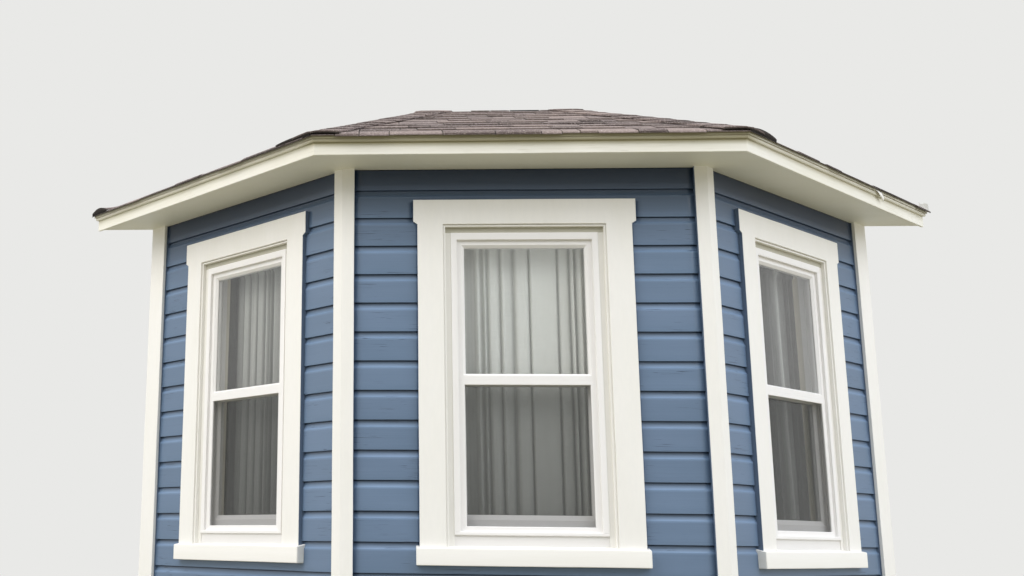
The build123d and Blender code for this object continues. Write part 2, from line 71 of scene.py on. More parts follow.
@dataclass(frozen=True)
class BayPlan:
    """Three lines in plan: a front, and two sides that slant back to the house wall. Metres."""

    front_width: float
    cant: float
    projection: float = 1.042
    house_wall_y: float = 0.657

    @property
    def side_length(self) -> float:
        """Length of a side."""
        return self.projection / math.sin(self.cant)

    @property
    def corners(self) -> np.ndarray:
        """Plan corners at offset 0.

        Returns:
            The corners from back left to back right, as (4, 2).
        """
        half = self.front_width / 2
        back = half + self.projection / math.tan(self.cant)
        y = self.house_wall_y - self.projection
        return np.array([(-back, self.house_wall_y), (-half, y), (half, y), (back, self.house_wall_y)])

    @property
    def steps(self) -> np.ndarray:
        """How each plan corner moves for one metre of offset outwards, as (4, 2)."""
        back, front = 1 / math.sin(self.cant), math.tan(self.cant / 2)
        return np.array([(-back, 0.0), (-front, -1.0), (front, -1.0), (back, 0.0)])

    def length(self, side: Side) -> float:
        """Length of one side or of the front."""
        return self.front_width if side is Side.FRONT else self.side_length

    def placement(self, side: Side, along: float = 0.0, height: float = 0.0) -> np.ndarray:
        """Matrix of a wall's own frame: x along it from its left end, y indoors, z up.

        Args:
            side: The wall.
            along: Shift along the wall, in metres.
            height: Shift upwards, in metres.

        Returns:
            The 4 x 4 matrix from the wall's frame to the row frame.
        """
        turn = {Side.LEFT: -self.cant, Side.FRONT: 0.0, Side.RIGHT: self.cant}[side]
        c, s = math.cos(turn), math.sin(turn)
        start = self.corners[side.value]
        matrix = np.eye(4)
        matrix[:3, 0] = (c, s, 0)
        matrix[:3, 1] = (-s, c, 0)
        matrix[:3, 3] = (start[0] + c * along, start[1] + s * along, height)
        return matrix

    def ends(self, side: Side, offset: Number) -> tuple[Number, Number]:
        """Left and right end of a side's strip at an offset, measured along the side.

        Args:
            side: The side.
            offset: One offset or an array of them.

        Returns:
            The two ends, shaped as the offset.
        """
        corner, wall = offset * math.tan(self.cant / 2), offset / math.tan(self.cant)
        length = self.length(side)
        if side is Side.FRONT:
            return -corner, length + corner
        return (-wall, length + corner) if side is Side.LEFT else (-corner, length + wall)


WALLS = BayPlan(1.578, math.radians(45.0))
EAVES = BayPlan(1.617, math.radians(45.86))


def smooth_noise(t: np.ndarray, seed: int, wave: float = 0.7) -> np.ndarray:
    """Slow random curve between about -1 and 1: a sum of four sines of random phase.

    n(t) = sum over k of sin(2 pi t f_k / wave + p_k) / (1 + k), scaled to unit range.

    Args:
        t: Where to read the curve, in metres.
        seed: Chooses the curve.
        wave: Longest wave, in metres.

    Returns:
        The curve's values, shaped as t.
    """
    rng = np.random.default_rng(seed)
    phases, rates = rng.uniform(0, 2 * np.pi, 4), np.array([1.0, 1.9, 3.3, 5.7])
    weights = 1 / (1 + np.arange(4))
    waves = np.sin(2 * np.pi * np.multiply.outer(np.asarray(t, float), rates) / wave + phases)
    return waves @ weights / weights.sum()


def fillet_profile(points: Sequence[Sequence[float]], radii: Sequence[float], steps: int = 3) -> np.ndarray:
    """Closed polygon with each corner replaced by an arc.

    A corner of inner angle A gives an arc tangent to both sides, r / tan(A / 2) from it.

    Args:
        points: Corners of the polygon, in order.
        radii: One radius a corner, 0 to keep it.
        steps: Spans in each arc.

    Returns:
        The new corners as (n, 2).
    """
    corners = np.asarray(points, float)
    result = []
    for here, before, after, radius in zip(corners, np.roll(corners, 1, 0), np.roll(corners, -1, 0), radii):
        to_before, to_after = before - here, after - here
        to_before, to_after = to_before / np.linalg.norm(to_before), to_after / np.linalg.norm(to_after)
        angle = math.acos(float(np.clip(to_before @ to_after, -1, 1)))
        if radius <= 0 or abs(math.pi - angle) < 10 * TINY:
            result.append(here[None])
            continue
        reach = radius / math.tan(angle / 2)
        between = to_before + to_after
        middle = here + between / np.linalg.norm(between) * radius / math.sin(angle / 2)
        first, last = here + to_before * reach - middle, here + to_after * reach - middle
        turns = np.linspace(0, math.atan2(first[0] * last[1] - first[1] * last[0], first @ last), steps + 1)
        arc = np.stack([first[0] * np.cos(turns) - first[1] * np.sin(turns),
                        first[0] * np.sin(turns) + first[1] * np.cos(turns)], 1)
        result.append(middle + arc)
    return np.concatenate(result)


def inset(outline: np.ndarray, distance: float) -> np.ndarray:
    """Polygon moved inwards, its corners in anticlockwise order.

    A corner p goes to p + d (n1 + n2) / (1 + n1 . n2), with n1 and n2 the inward normals of the
    two edges that meet there.

    Args:
        outline: Corners as (n, 2).
        distance: How far its edges move.

    Returns:
        The new corners as (n, 2).
    """
    edges = (outline - np.roll(outline, 1, 0), np.roll(outline, -1, 0) - outline)
    first, second = (np.stack([-e[:, 1], e[:, 0]], 1) / np.linalg.norm(e, axis=1)[:, None] for e in edges)
    return outline + distance * (first + second) / (1 + np.sum(first * second, 1))[:, None]


def running_length(points: np.ndarray, axis: int) -> np.ndarray:
    """Distance travelled along one axis of a grid of points, from 0.

    Args:
        points: The grid as (rows, columns, 3).
        axis: 0 down the rows, 1 along the columns.

    Returns:
        The distances as (rows, columns).
    """
    steps = np.linalg.norm(np.diff(points, axis=axis), axis=-1)
    start = np.zeros_like(np.take(steps, [0], axis=axis))
    return np.concatenate([start, np.cumsum(steps, axis=axis)], axis=axis)


def metres_map(grid: np.ndarray) -> np.ndarray:
    """Map of a grid in metres: the lengths travelled along its two axes."""
    return np.stack([running_length(grid, 1), running_length(grid, 0)], -1)


@dataclass
class MeshMaker:
    """Collects grids of points and turns them into one piece."""

    name: str
    points: list[np.ndarray] = field(default_factory=list)
    maps: list[np.ndarray] = field(default_factory=list)
    tones: list[np.ndarray] = field(default_factory=list)
    grime_and_shade: list[np.ndarray] = field(default_factory=list)
    quads: list[np.ndarray] = field(default_factory=list)
    caps: list[list[int]] = field(default_factory=list)
    count: int = 0

    def add_grid(self, grid: np.ndarray, place: Optional[np.ndarray] = None, uv: Optional[np.ndarray] = None,
                 tone: Number = 0.5, grime_and_shade: Number = 0.0, wrap_rows: bool = False, wrap_columns: bool = False,
                 cap_ends: bool = False, keep: Optional[np.ndarray] = None) -> None:
        """Adds a grid of points as quads.

        Args:
            grid: Points as (rows, columns, 3).
            place: Matrix to the row frame, or None.
            uv: Map in metres as (rows, columns, 2), or None for the grid's own lengths.
            tone: Shade of the grid, from 0 to 1.
            grime_and_shade: How far each point takes its finish's dark colour, from 0 to 1: painted
                shade, and on some pieces mildewed paint and cut-in paint.
            wrap_rows: Joins the last row to the first.
            wrap_columns: Joins the last column to the first.
            cap_ends: Closes the first and the last column.
            keep: Which cells to keep, as (rows - 1, columns - 1), for a grid that doesn't wrap.
        """
        rows, columns = grid.shape[:2]
        uv = metres_map(grid) if uv is None else uv
        flat = grid.reshape(-1, 3)
        if place is not None:
            flat = flat @ place[:3, :3].T + place[:3, 3]
        index = np.arange(rows * columns).reshape(rows, columns) + self.count
        if wrap_rows:
            index = np.concatenate([index, index[:1]], 0)
        if wrap_columns:
            index = np.concatenate([index, index[:, :1]], 1)
        quads = np.stack([index[:-1, :-1], index[:-1, 1:], index[1:, 1:], index[1:, :-1]], -1)
        quads = quads.reshape(-1, 4) if keep is None else quads[keep]
        if cap_ends:
            self.caps.append(index[:rows, 0].tolist())
            self.caps.append(index[:rows, -1][::-1].tolist())
        self.points.append(flat)
        self.maps.append(uv.reshape(-1, 2))
        self.tones.append(np.broadcast_to(tone, (rows, columns)).reshape(-1).astype(float))
        self.grime_and_shade.append(np.broadcast_to(grime_and_shade, (rows, columns)).reshape(-1).astype(float))
        self.quads.append(quads)
        self.count += rows * columns

    def build(self, material: bpy.types.Material, nodes: Sequence[str], slot: str, closed: bool = True,
              sharp: float = 14.0) -> bpy.types.Object:
        """Makes the object, in the row frame, riding on the body.

        Args:
            material: Its finish.
            nodes: CAD nodes that it stands for.
            slot: The record's slot; not used.
            closed: True for closed shells, whose faces are then turned outwards.
            sharp: Edges above this angle in degrees stay sharp.

        Returns:
            The new object.
        """
        faces = [*np.concatenate(self.quads).tolist(), *self.caps]
        mesh = bpy.data.meshes.new(self.name)
        mesh.from_pydata(np.concatenate(self.points).tolist(), [], faces)
        for label, values in (("tone", self.tones), ("grime_and_shade", self.grime_and_shade)):
            mesh.attributes.new(label, "FLOAT", "POINT").data.foreach_set("value", np.concatenate(values))
        used = np.empty(len(mesh.loops), dtype=np.int32)
        mesh.loops.foreach_get("vertex_index", used)
        layer = mesh.uv_layers.new(name="metres")
        layer.data.foreach_set("uv", np.concatenate(self.maps)[used].astype(np.float32).ravel())
        work = bmesh.new()
        work.from_mesh(mesh)
        loose = [v for v in work.verts if not v.link_faces]
        bmesh.ops.delete(work, geom=loose, context="VERTS")
        if closed:
            bmesh.ops.recalc_face_normals(work, faces=work.faces)
        work.to_mesh(mesh)
        work.free()
        mesh.shade_smooth()
        mesh.set_sharp_from_angle(angle=math.radians(sharp))
        mesh.materials.append(material)
        piece = bpy.data.objects.new(self.name, mesh)
        bpy.context.scene.collection.objects.link(piece)
        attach(piece, BODY)
        if nodes:
            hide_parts(*nodes)
        LOG.info("%s: %d faces", self.name, len(mesh.polygons))
        return piece


def thicken(piece: bpy.types.Object, thickness: float) -> None:
    """Gives an open sheet its thickness on the inner side, with closed rims.

    Args:
        piece: The sheet.
        thickness: Its thickness in metres.
    """
    shell = piece.modifiers.new("thickness", "SOLIDIFY")
    shell.thickness = thickness
    shell.offset = -1.0


def plate(maker: MeshMaker, place: np.ndarray, outline: Sequence[Sequence[float]], depth: Sequence[float],
          radius: float, wobble: float, seed: int, grime_and_shade: float = 0.0,
          cut_in: Optional[Sequence[float]] = None) -> None:
    """Adds a flat board of any outline, its face edges rounded and a little uneven.

    Rings of the outline follow one another from back to face. Round the edge, a ring at turn u
    is inset by r (1 - cos u) at depth front + r (1 - sin u). A last ring 0.4 mm further in keeps
    the face flat. The outline has a point at least every 90 mm, so that its edges can wander.

    Args:
        maker: Collects the board.
        place: Matrix of the wall's or window's frame.
        outline: Corners as (x, z), anticlockwise as seen from outside.
        depth: Front and back face, as y.
        radius: Radius of the face's edges.
        wobble: How far its edges wander.
        seed: Chooses the unevenness.
        grime_and_shade: How far it takes its finish's dark colour, as painted shade.
        cut_in: How far the paint of the wall covers its edge at each corner, or None.
    """
    pitch, last_ring, fade = 0.09, 0.0004, (1.0, 1.0, 0.7, 0.1, 0.0, 0.0)
    covered = np.zeros(len(outline)) if cut_in is None else cut_in
    corners = np.column_stack([np.asarray(outline, float), covered])
    sides = zip(corners, np.roll(corners, -1, 0))
    line = np.concatenate([np.linspace(a, b, max(2, int(np.linalg.norm((b - a)[:2]) / pitch) + 1))[:-1]
                           for a, b in sides])
    line, edge = line[:, :2], line[:, 2]
    line = line + wobble * np.stack([smooth_noise(line[:, 1], seed), smooth_noise(line[:, 0], seed + 1)], 1)
    turn = np.linspace(0, np.pi / 2, 4)
    insets = np.concatenate([[0.0], radius * (1 - np.cos(turn)), [radius + last_ring]])
    depths = np.concatenate([[depth[1]], depth[0] + radius * (1 - np.sin(turn)), [depth[0]]])
    rings = np.stack([inset(line, d) for d in insets], 1)
    grid = np.stack([rings[..., 0], np.broadcast_to(depths, rings.shape[:2]), rings[..., 1]], -1)
    uv = np.stack([grid[..., 2], grid[..., 0] + grid[..., 1]], -1) + 0.37 * seed
    maker.add_grid(grid, place, uv, grime_and_shade=np.maximum(np.outer(edge, fade), grime_and_shade), wrap_rows=True,
                   cap_ends=True)


def band_outline(half: float, top: float, width: float, foot: float) -> list[tuple[float, float]]:
    """Outline of a three-sided band round the sides and top of an opening."""
    return [(half, foot), (half, top), (-half, top), (-half, foot), (width - half, foot),
            (width - half, top - width), (half - width, top - width), (half - width, foot)]


def bar_across(maker: MeshMaker, place: np.ndarray, section: np.ndarray, half: float, ease: float, seed: int,
               grime_and_shade: Number = 0.0) -> None:
    """Adds a level bar with a section of (depth, height) points, its ends eased by a chamfer.

    It wanders by about half a millimetre in depth and height along its ten spans.

    Args:
        maker: Collects the bar.
        place: Matrix of the window's frame.
        section: Section as (n, 2), anticlockwise with depth to the right.
        half: Half its length.
        ease: Size of the chamfer at each end.
        seed: Chooses the unevenness.
        grime_and_shade: How far it takes its finish's dark colour, as painted shade, one value or one
            a section point.
    """
    inner = np.linspace(-half + ease, half - ease, 11)
    x = np.concatenate([[-half], inner, [half]])
    grid = np.empty((len(section), len(x), 3))
    grid[..., 0] = x
    grid[:, 1:-1, 1:] = section[:, None]
    grid[:, [0, -1], 1:] = inset(section, ease)[:, None]
    grid[..., 1] += 0.0004 * smooth_noise(x, seed)
    grid[..., 2] += 0.0005 * smooth_noise(x, seed + 1)
    maker.add_grid(grid, place, metres_map(grid) + seed, grime_and_shade=np.reshape(grime_and_shade, (-1, 1)), wrap_rows=True,
                   cap_ends=True)


def mitred_ring(x: Sequence[float], z: Sequence[float], profile: np.ndarray,
                members: Sequence[float]) -> np.ndarray:
    """Frame whose section is carried round a rectangle with mitred corners.

    A section point (s, e, y) lies at inset s times the member's width plus e from the outer
    edge, so the corner point is (x0 + s left + e, y, z0 + s bottom + e), and so on.

    Args:
        x: Outer left and right.
        z: Outer bottom and top.
        profile: Section as (n, 3): share of the member's width, extra inset, and depth.
        members: Widths of the left, bottom, right and top members.

    Returns:
        Points as (n, 4, 3).
    """
    left, bottom, right, top = members
    s, e, y = profile.T
    xs = np.stack([x[0] + s * left + e, x[1] - s * right - e, x[1] - s * right - e, x[0] + s * left + e], 1)
    zs = np.stack([z[0] + s * bottom + e, z[0] + s * bottom + e, z[1] - s * top - e, z[1] - s * top - e], 1)
    return np.stack([xs, np.broadcast_to(y[:, None], xs.shape), zs], -1)


def round_the_bay(plan: BayPlan, profile: np.ndarray, seed: int, spans: int) -> np.ndarray:
    """Section carried round the three walls with mitred corners.

    Point = corner(t) + offset * step(t), where both run linearly between the plan's corners, and
    heights move by up to 0.6 mm on a slow curve of the distance along.

    Args:
        plan: Lines that it follows.
        profile: Section as (n, 2): offset and height.
        seed: Chooses the unevenness.
        spans: Spans along each wall.

    Returns:
        Points as (n, stations, 3).
    """
    t = np.linspace(0, 3, 3 * spans + 1)
    base = np.stack([np.interp(t, range(4), plan.corners[:, k]) for k in (0, 1)], -1)
    step = np.stack([np.interp(t, range(4), plan.steps[:, k]) for k in (0, 1)], -1)
    grid = np.empty((len(profile), len(t), 3))
    grid[..., :2] = base + profile[:, :1, None] * step
    grid[..., 2] = profile[:, 1:] + 0.0006 * smooth_noise(t * 1.5, seed)
    return grid


def linear(hex_colour: str) -> tuple[float, float, float, float]:
    """Linear colour of an sRGB value: c / 12.92 below 0.04045, else ((c + 0.055) / 1.055) ^ 2.4.

    Args:
        hex_colour: The colour, as #rrggbb.

    Returns:
        Red, green, blue and an alpha of 1.
    """
    values = np.array([int(hex_colour[i:i + 2], 16) / 255 for i in (1, 3, 5)])
    straight = np.where(values <= 0.04045, values / 12.92, ((values + 0.055) / 1.055) ** 2.4)
    return (*straight.tolist(), 1.0)


def add_node(tree: bpy.types.NodeTree, kind: str, inputs: Optional[dict] = None,
             **settings: object) -> bpy.types.Node:
    """Adds a node with its settings, values and links.

    Args:
        tree: Where it goes.
        kind: Its Blender type, without the prefix ShaderNode.
        inputs: Socket name or number, to a value, to the socket that feeds it, or to the node
            whose first live output feeds it.
        **settings: Properties of the node.

    Returns:
        The new node.
    """
    node = tree.nodes.new("ShaderNode" + kind)
    for key, value in settings.items():
        setattr(node, key, value)
    for key, value in (inputs or {}).items():
        if isinstance(value, bpy.types.Node):
            value = next(socket for socket in value.outputs if socket.enabled)
        if isinstance(value, bpy.types.NodeSocket):
            tree.links.new(value, node.inputs[key])
        else:
            node.inputs[key].default_value = value
    return node


def new_material(name: str) -> tuple[bpy.types.Material, bpy.types.NodeTree]:
    """Material with an empty tree.

    Args:
        name: Its name.

    Returns:
        The material and its tree.
    """
    material = bpy.data.materials.new(name)
    material.use_nodes = True
    material.node_tree.nodes.clear()
    return material, material.node_tree


@dataclass(frozen=True)
class PaintedWood:
    """Brushed house paint on softwood boards.

    Paint gives an even colour with a soft sheen. The grain lifts under it as fine long ridges,
    and soiling and old cracks gather along it in its dark colour, which pieces also use for
    painted shade. The ridges' scales are how many there are in a metre.
    """

    name: str
    colour: str
    worn: str
    dirt_and_shade: str
    follow: Follow = Follow.UV
    ridges: tuple[float, float, float] = (3.0, 300.0, 1.0)
    relief: float = 0.0005
    grain_dirt: float = 0.015
    crack: float = 0.0
    tone_range: float = 0.05
    grime_and_shade_share: float = 0.0
    roughness: float = 0.48
    specular: float = 0.3

    def material(self) -> bpy.types.Material:
        """Builds the material. Ridges are about 3 mm wide and 0.3 m long unless a finish says more.

        Returns:
            The finished material.
        """
        material, tree = new_material(self.name)
        flat = self.follow is Follow.UV
        source = (add_node(tree, "UVMap", uv_map="metres") if flat
                  else add_node(tree, "TexCoord").outputs["Object"])
        wide = add_node(tree, "Mapping", {"Vector": source, "Scale": (2.0, 7.0, 2.0)})
        blotch = add_node(tree, "TexNoise", {"Vector": wide, "Scale": 1.0, "Detail": 3.0})
        long = add_node(tree, "Mapping", {"Vector": source, "Scale": self.ridges})
        grain = add_node(tree, "TexNoise", {"Vector": long, "Scale": 1.0, "Detail": 4.0, "Roughness": 0.6,
                                            "Distortion": 0.4})
        share = add_node(tree, "MapRange", {0: blotch, 1: 0.35, 2: 0.7, 3: 0.0, 4: 0.75})
        colour = add_node(tree, "Mix", {0: share, 6: linear(self.colour), 7: linear(self.worn)},
                          data_type="RGBA")
        share = add_node(tree, "MapRange", {0: grain, 1: 0.42, 2: 0.6, 3: self.grain_dirt, 4: 0.0})
        dirt_and_shade = linear(self.dirt_and_shade)
        colour = add_node(tree, "Mix", {0: share, 6: colour, 7: dirt_and_shade}, data_type="RGBA")
        height = grain
        if self.crack > 0:
            lines = add_node(tree, "Mapping", {"Vector": source, "Scale": (7.0, 260.0, 1.0)})
            lines = add_node(tree, "TexNoise", {"Vector": lines, "Scale": 1.0, "Detail": 2.0,
                                                "Distortion": 0.8})
            lines = add_node(tree, "MapRange", {0: lines, 1: 0.63, 2: 0.67, 3: 0.0, 4: 1.0})
            where = add_node(tree, "Mapping", {"Vector": source, "Scale": (4.0, 9.0, 1.0)})
            where = add_node(tree, "TexNoise", {"Vector": where, "Scale": 1.0, "Detail": 2.0})
            where = add_node(tree, "MapRange", {0: where, 1: 0.52, 2: 0.60, 3: 0.0, 4: self.crack})
            cracks = add_node(tree, "Math", {0: lines, 1: where}, operation="MULTIPLY")
            colour = add_node(tree, "Mix", {0: cracks, 6: colour, 7: dirt_and_shade}, data_type="RGBA")
            height = add_node(tree, "Math", {0: height, 1: cracks}, operation="SUBTRACT")
        # The tone attribute varies the boards at random; on the siding it also carries a painted highlight
        # and shade.
        if flat:
            tone = add_node(tree, "Attribute", attribute_name="tone")
            shade = add_node(tree, "MapRange", {0: tone, 1: 0.0, 2: 1.0, 3: 1 - self.tone_range,
                                                4: 1 + self.tone_range})
            colour = add_node(tree, "Mix", {0: 1.0, 6: colour, 7: shade}, data_type="RGBA",
                              blend_type="MULTIPLY")
        # The grime_and_shade attribute mixes in the dark colour: painted shade on most pieces, with mildewed
        # paint on the eave and the siding's paint on cut-in edges.
        if self.grime_and_shade_share > 0:
            grime_and_shade = add_node(tree, "Attribute", attribute_name="grime_and_shade")
            share = add_node(tree, "MapRange", {0: grime_and_shade, 1: 0.0, 2: 1.0, 3: 0.0, 4: self.grime_and_shade_share})
            colour = add_node(tree, "Mix", {0: share, 6: colour, 7: dirt_and_shade}, data_type="RGBA")
        bump = add_node(tree, "Bump", {"Strength": 0.6, "Distance": self.relief, "Height": height})
        gloss = add_node(tree, "MapRange", {0: blotch, 1: 0.3, 2: 0.7, 3: self.roughness - 0.06,
                                            4: self.roughness + 0.08})
        shader = add_node(tree, "BsdfPrincipled", {"Base Color": colour, "Roughness": gloss,
                                                   "Specular IOR Level": self.specular, "Normal": bump})
        add_node(tree, "OutputMaterial", {"Surface": shader})
        return material


@dataclass(frozen=True)
class MineralShingle:
    """Asphalt shingle surfaced with mineral granules.

    Granules about 2 mm across scatter light, so it is dead matt and speckled. Tabs come from
    blended batches, so each has a shade of its own.
    """

    name: str = "asphalt_shingle_brown_blend"
    shades: tuple[str, ...] = ("#4b3f3b", "#605350", "#756864", "#908079", "#695c58", "#81736d")
    dark_granule: str = "#4a3a36"
    pale_granule: str = "#d8c8c0"
    bleached: str = "#a6948b"
    # Painted shade at butts, undersides and between tabs.
    darkening: str = "#17130f"

    def material(self) -> bpy.types.Material:
        """Builds the material. Granules are drawn 3 mm wide so that they show.

        Returns:
            The finished material.
        """
        material, tree = new_material(self.name)
        tone = add_node(tree, "Attribute", attribute_name="tone")
        stops = add_node(tree, "ValToRGB", {"Fac": tone})
        stops.color_ramp.interpolation = "CONSTANT"
        elements = stops.color_ramp.elements
        while len(elements) < len(self.shades):
            elements.new(0.5)
        for n, shade in enumerate(self.shades):
            elements[n].position = n / len(self.shades)
            elements[n].color = linear(shade)
        source = add_node(tree, "TexCoord").outputs["Object"]
        speck = add_node(tree, "TexVoronoi", {"Vector": source, "Scale": 330.0})
        grey = add_node(tree, "SeparateColor", {"Color": speck.outputs["Color"]})
        wash = add_node(tree, "TexNoise", {"Vector": source, "Scale": 3.0, "Detail": 3.0})
        grime_and_shade = add_node(tree, "Attribute", attribute_name="grime_and_shade")
        colour = stops
        # The last layer lays on that painted shade, from the grime_and_shade attribute.
        layers = ((grey, 0.0, 1.0, 0.5, self.dark_granule), (grey, 0.82, 0.88, 0.6, self.pale_granule),
                  (wash, 0.4, 0.7, 0.3, self.bleached), (grime_and_shade, 0.0, 1.0, 1.0, self.darkening))
        for pattern, low, high, most, shade in layers:
            share = add_node(tree, "MapRange", {0: pattern, 1: low, 2: high, 3: 0.0, 4: most})
            colour = add_node(tree, "Mix", {0: share, 6: colour, 7: linear(shade)}, data_type="RGBA")
        bump = add_node(tree, "Bump", {"Strength": 0.8, "Distance": 0.0012, "Height": speck})
        shader = add_node(tree, "BsdfPrincipled", {"Base Color": colour, "Roughness": 0.95, "Normal": bump})
        add_node(tree, "OutputMaterial", {"Surface": shader})
        return material


@dataclass(frozen=True)
class FloatGlass:
    """Clear float glass. It mirrors at grazing angles and lets nearly all light through."""

    name: str = "float_glass_clear"
    tint: str = "#f8f9f8"
    shadow_tint: str = "#f3f4f3"
    ior: float = 1.55

    def material(self) -> bpy.types.Material:
        """Builds the material. Lamps pass through it, so what is behind is lit.

        Returns:
            The finished material.
        """
        material, tree = new_material(self.name)
        clarity = {"Transmission Weight": 1.0, "Roughness": 0.0, "IOR": self.ior}
        shader = add_node(tree, "BsdfPrincipled", {"Base Color": linear(self.tint), **clarity})
        clear = add_node(tree, "BsdfTransparent", {"Color": linear(self.shadow_tint)})
        path = add_node(tree, "LightPath").outputs["Is Shadow Ray"]
        mixed = add_node(tree, "MixShader", {0: path, 1: shader, 2: clear})
        add_node(tree, "OutputMaterial", {"Surface": mixed})
        return material


@dataclass(frozen=True)
class InsectMesh:
    """Woven glass-fibre insect mesh, charcoal grey, 1.4 mm between threads.

    The weave is too fine to show, so it reads as a grey veil over the sash behind it.
    """

    name: str = "insect_mesh_charcoal"
    thread: str = "#3b3c39"
    dusty: str = "#575954"
    cover: float = 0.38

    def material(self) -> bpy.types.Material:
        """Builds the material. The weave is drawn at 3 mm so that it shows close by.

        Returns:
            The finished material.
        """
        material, tree = new_material(self.name)
        source = add_node(tree, "UVMap", uv_map="metres")
        weave = add_node(tree, "TexChecker", {"Vector": source, "Scale": 330.0})
        share = add_node(tree, "MapRange", {0: weave.outputs["Fac"], 1: 0.0, 2: 1.0, 3: 0.0, 4: 0.25})
        colour = add_node(tree, "Mix", {0: share, 6: linear(self.thread), 7: linear(self.dusty)},
                          data_type="RGBA")
        shader = add_node(tree, "BsdfPrincipled", {"Base Color": colour, "Roughness": 0.7,
                                                   "Alpha": self.cover})
        add_node(tree, "OutputMaterial", {"Surface": shader})
        return material


@dataclass(frozen=True)
class SheerCloth:
    """Sheer polyester voile, plain woven, white.

    Seen from the street it carries a painted shade from the tone attribute, as grey as the dim
    room behind a single layer, and painted light where the cloth should look whiter. From the
    room it is white. The folds carry a painted shade from the grime_and_shade attribute.
    """

    name: str = "sheer_voile_white"
    colour: str = "#dee0dc"
    between: str = "#bfbfbb"
    shadow: float = 0.4

    def material(self) -> bpy.types.Material:
        """Builds the material. Threads are drawn 1.5 mm apart so that they show close by.

        Returns:
            The finished material.
        """
        material, tree = new_material(self.name)
        source = add_node(tree, "UVMap", uv_map="metres")
        warp = add_node(tree, "Mapping", {"Vector": source, "Scale": (650.0, 12.0, 1.0)})
        warp = add_node(tree, "TexNoise", {"Vector": warp, "Scale": 1.0, "Detail": 2.0})
        weft = add_node(tree, "Mapping", {"Vector": source, "Scale": (12.0, 650.0, 1.0)})
        weft = add_node(tree, "TexNoise", {"Vector": weft, "Scale": 1.0, "Detail": 2.0})
        weave = add_node(tree, "Math", {0: warp, 1: weft}, operation="ADD")
        share = add_node(tree, "MapRange", {0: weave, 1: 0.8, 2: 1.2, 3: 0.0, 4: 0.35})
        colour = add_node(tree, "Mix", {0: share, 6: linear(self.colour), 7: linear(self.between)},
                          data_type="RGBA")
        # The tone attribute is painted light and shade for the street side; back faces, seen from the room,
        # stay white.
        layers = add_node(tree, "Attribute", attribute_name="tone")
        room = add_node(tree, "NewGeometry").outputs["Backfacing"]
        layers = add_node(tree, "Math", {0: layers, 1: room}, operation="MAXIMUM")
        # The grime_and_shade attribute is a painted shade at the back of each fold.
        fold = add_node(tree, "Attribute", attribute_name="grime_and_shade")
        fold = add_node(tree, "MapRange", {0: fold, 1: 0.0, 2: 1.0, 3: 1.0, 4: 1 - self.shadow})
        shade = add_node(tree, "Math", {0: layers, 1: fold}, operation="MULTIPLY")
        colour = add_node(tree, "Mix", {0: 1.0, 6: colour, 7: shade}, data_type="RGBA", blend_type="MULTIPLY")
        bump = add_node(tree, "Bump", {"Strength": 0.4, "Distance": 0.0003, "Height": weave})
        shader = add_node(tree, "BsdfPrincipled", {"Base Color": colour, "Roughness": 0.85,
                                                   "Sheen Weight": 0.2, "Normal": bump})
        thin = add_node(tree, "BsdfTranslucent", {"Color": colour})
        mixed = add_node(tree, "MixShader", {0: 0.15, 1: shader, 2: thin})
        add_node(tree, "OutputMaterial", {"Surface": mixed})
        return material


@dataclass(frozen=True)
class CastConcrete:
    """Board-marked cast concrete with a parged face.

    Cement paste is grey and matt, with pores, trowel marks and stains of moisture near the ground.
    """

    name: str = "cast_concrete_parged"
    colour: str = "#a3a098"
    stained: str = "#8c8981"
    trowelled: str = "#b4b1a8"
    darkening: str = "#65625a"
    pore: str = "#55524b"

    def material(self) -> bpy.types.Material:
        """Builds the material. Pores are about 3 mm wide, stains about 0.4 m.

        Returns:
            The finished material.
        """
        material, tree = new_material(self.name)
        source = add_node(tree, "TexCoord").outputs["Object"]
        stain = add_node(tree, "TexNoise", {"Vector": source, "Scale": 2.5, "Detail": 5.0, "Roughness": 0.6})
        fine = add_node(tree, "TexNoise", {"Vector": source, "Scale": 70.0, "Detail": 6.0, "Roughness": 0.7})
        pores = add_node(tree, "TexVoronoi", {"Vector": source, "Scale": 90.0})
        height = add_node(tree, "SeparateXYZ", {"Vector": source}).outputs["Z"]
        colour = linear(self.colour)
        layers = ((stain, 0.35, 0.65, 0.0, 1.0, self.stained), (fine, 0.4, 0.7, 0.0, 0.5, self.trowelled),
                  (height, 0.0, 0.25, 0.55, 0.0, self.darkening), (pores, 0.0, 0.14, 0.5, 0.0, self.pore))
        for pattern, low, high, least, most, shade in layers:
            share = add_node(tree, "MapRange", {0: pattern, 1: low, 2: high, 3: least, 4: most})
            colour = add_node(tree, "Mix", {0: share, 6: colour, 7: linear(shade)}, data_type="RGBA")
        pits = add_node(tree, "MapRange", {0: pores, 1: 0.0, 2: 0.2, 3: 0.0, 4: 1.0})
        relief = add_node(tree, "Math", {0: fine, 1: pits}, operation="ADD")
        bump = add_node(tree, "Bump", {"Strength": 0.7, "Distance": 0.003, "Height": relief})
        shader = add_node(tree, "BsdfPrincipled", {"Base Color": colour, "Roughness": 0.9, "Normal": bump})
        add_node(tree, "OutputMaterial", {"Surface": shader})
        return material


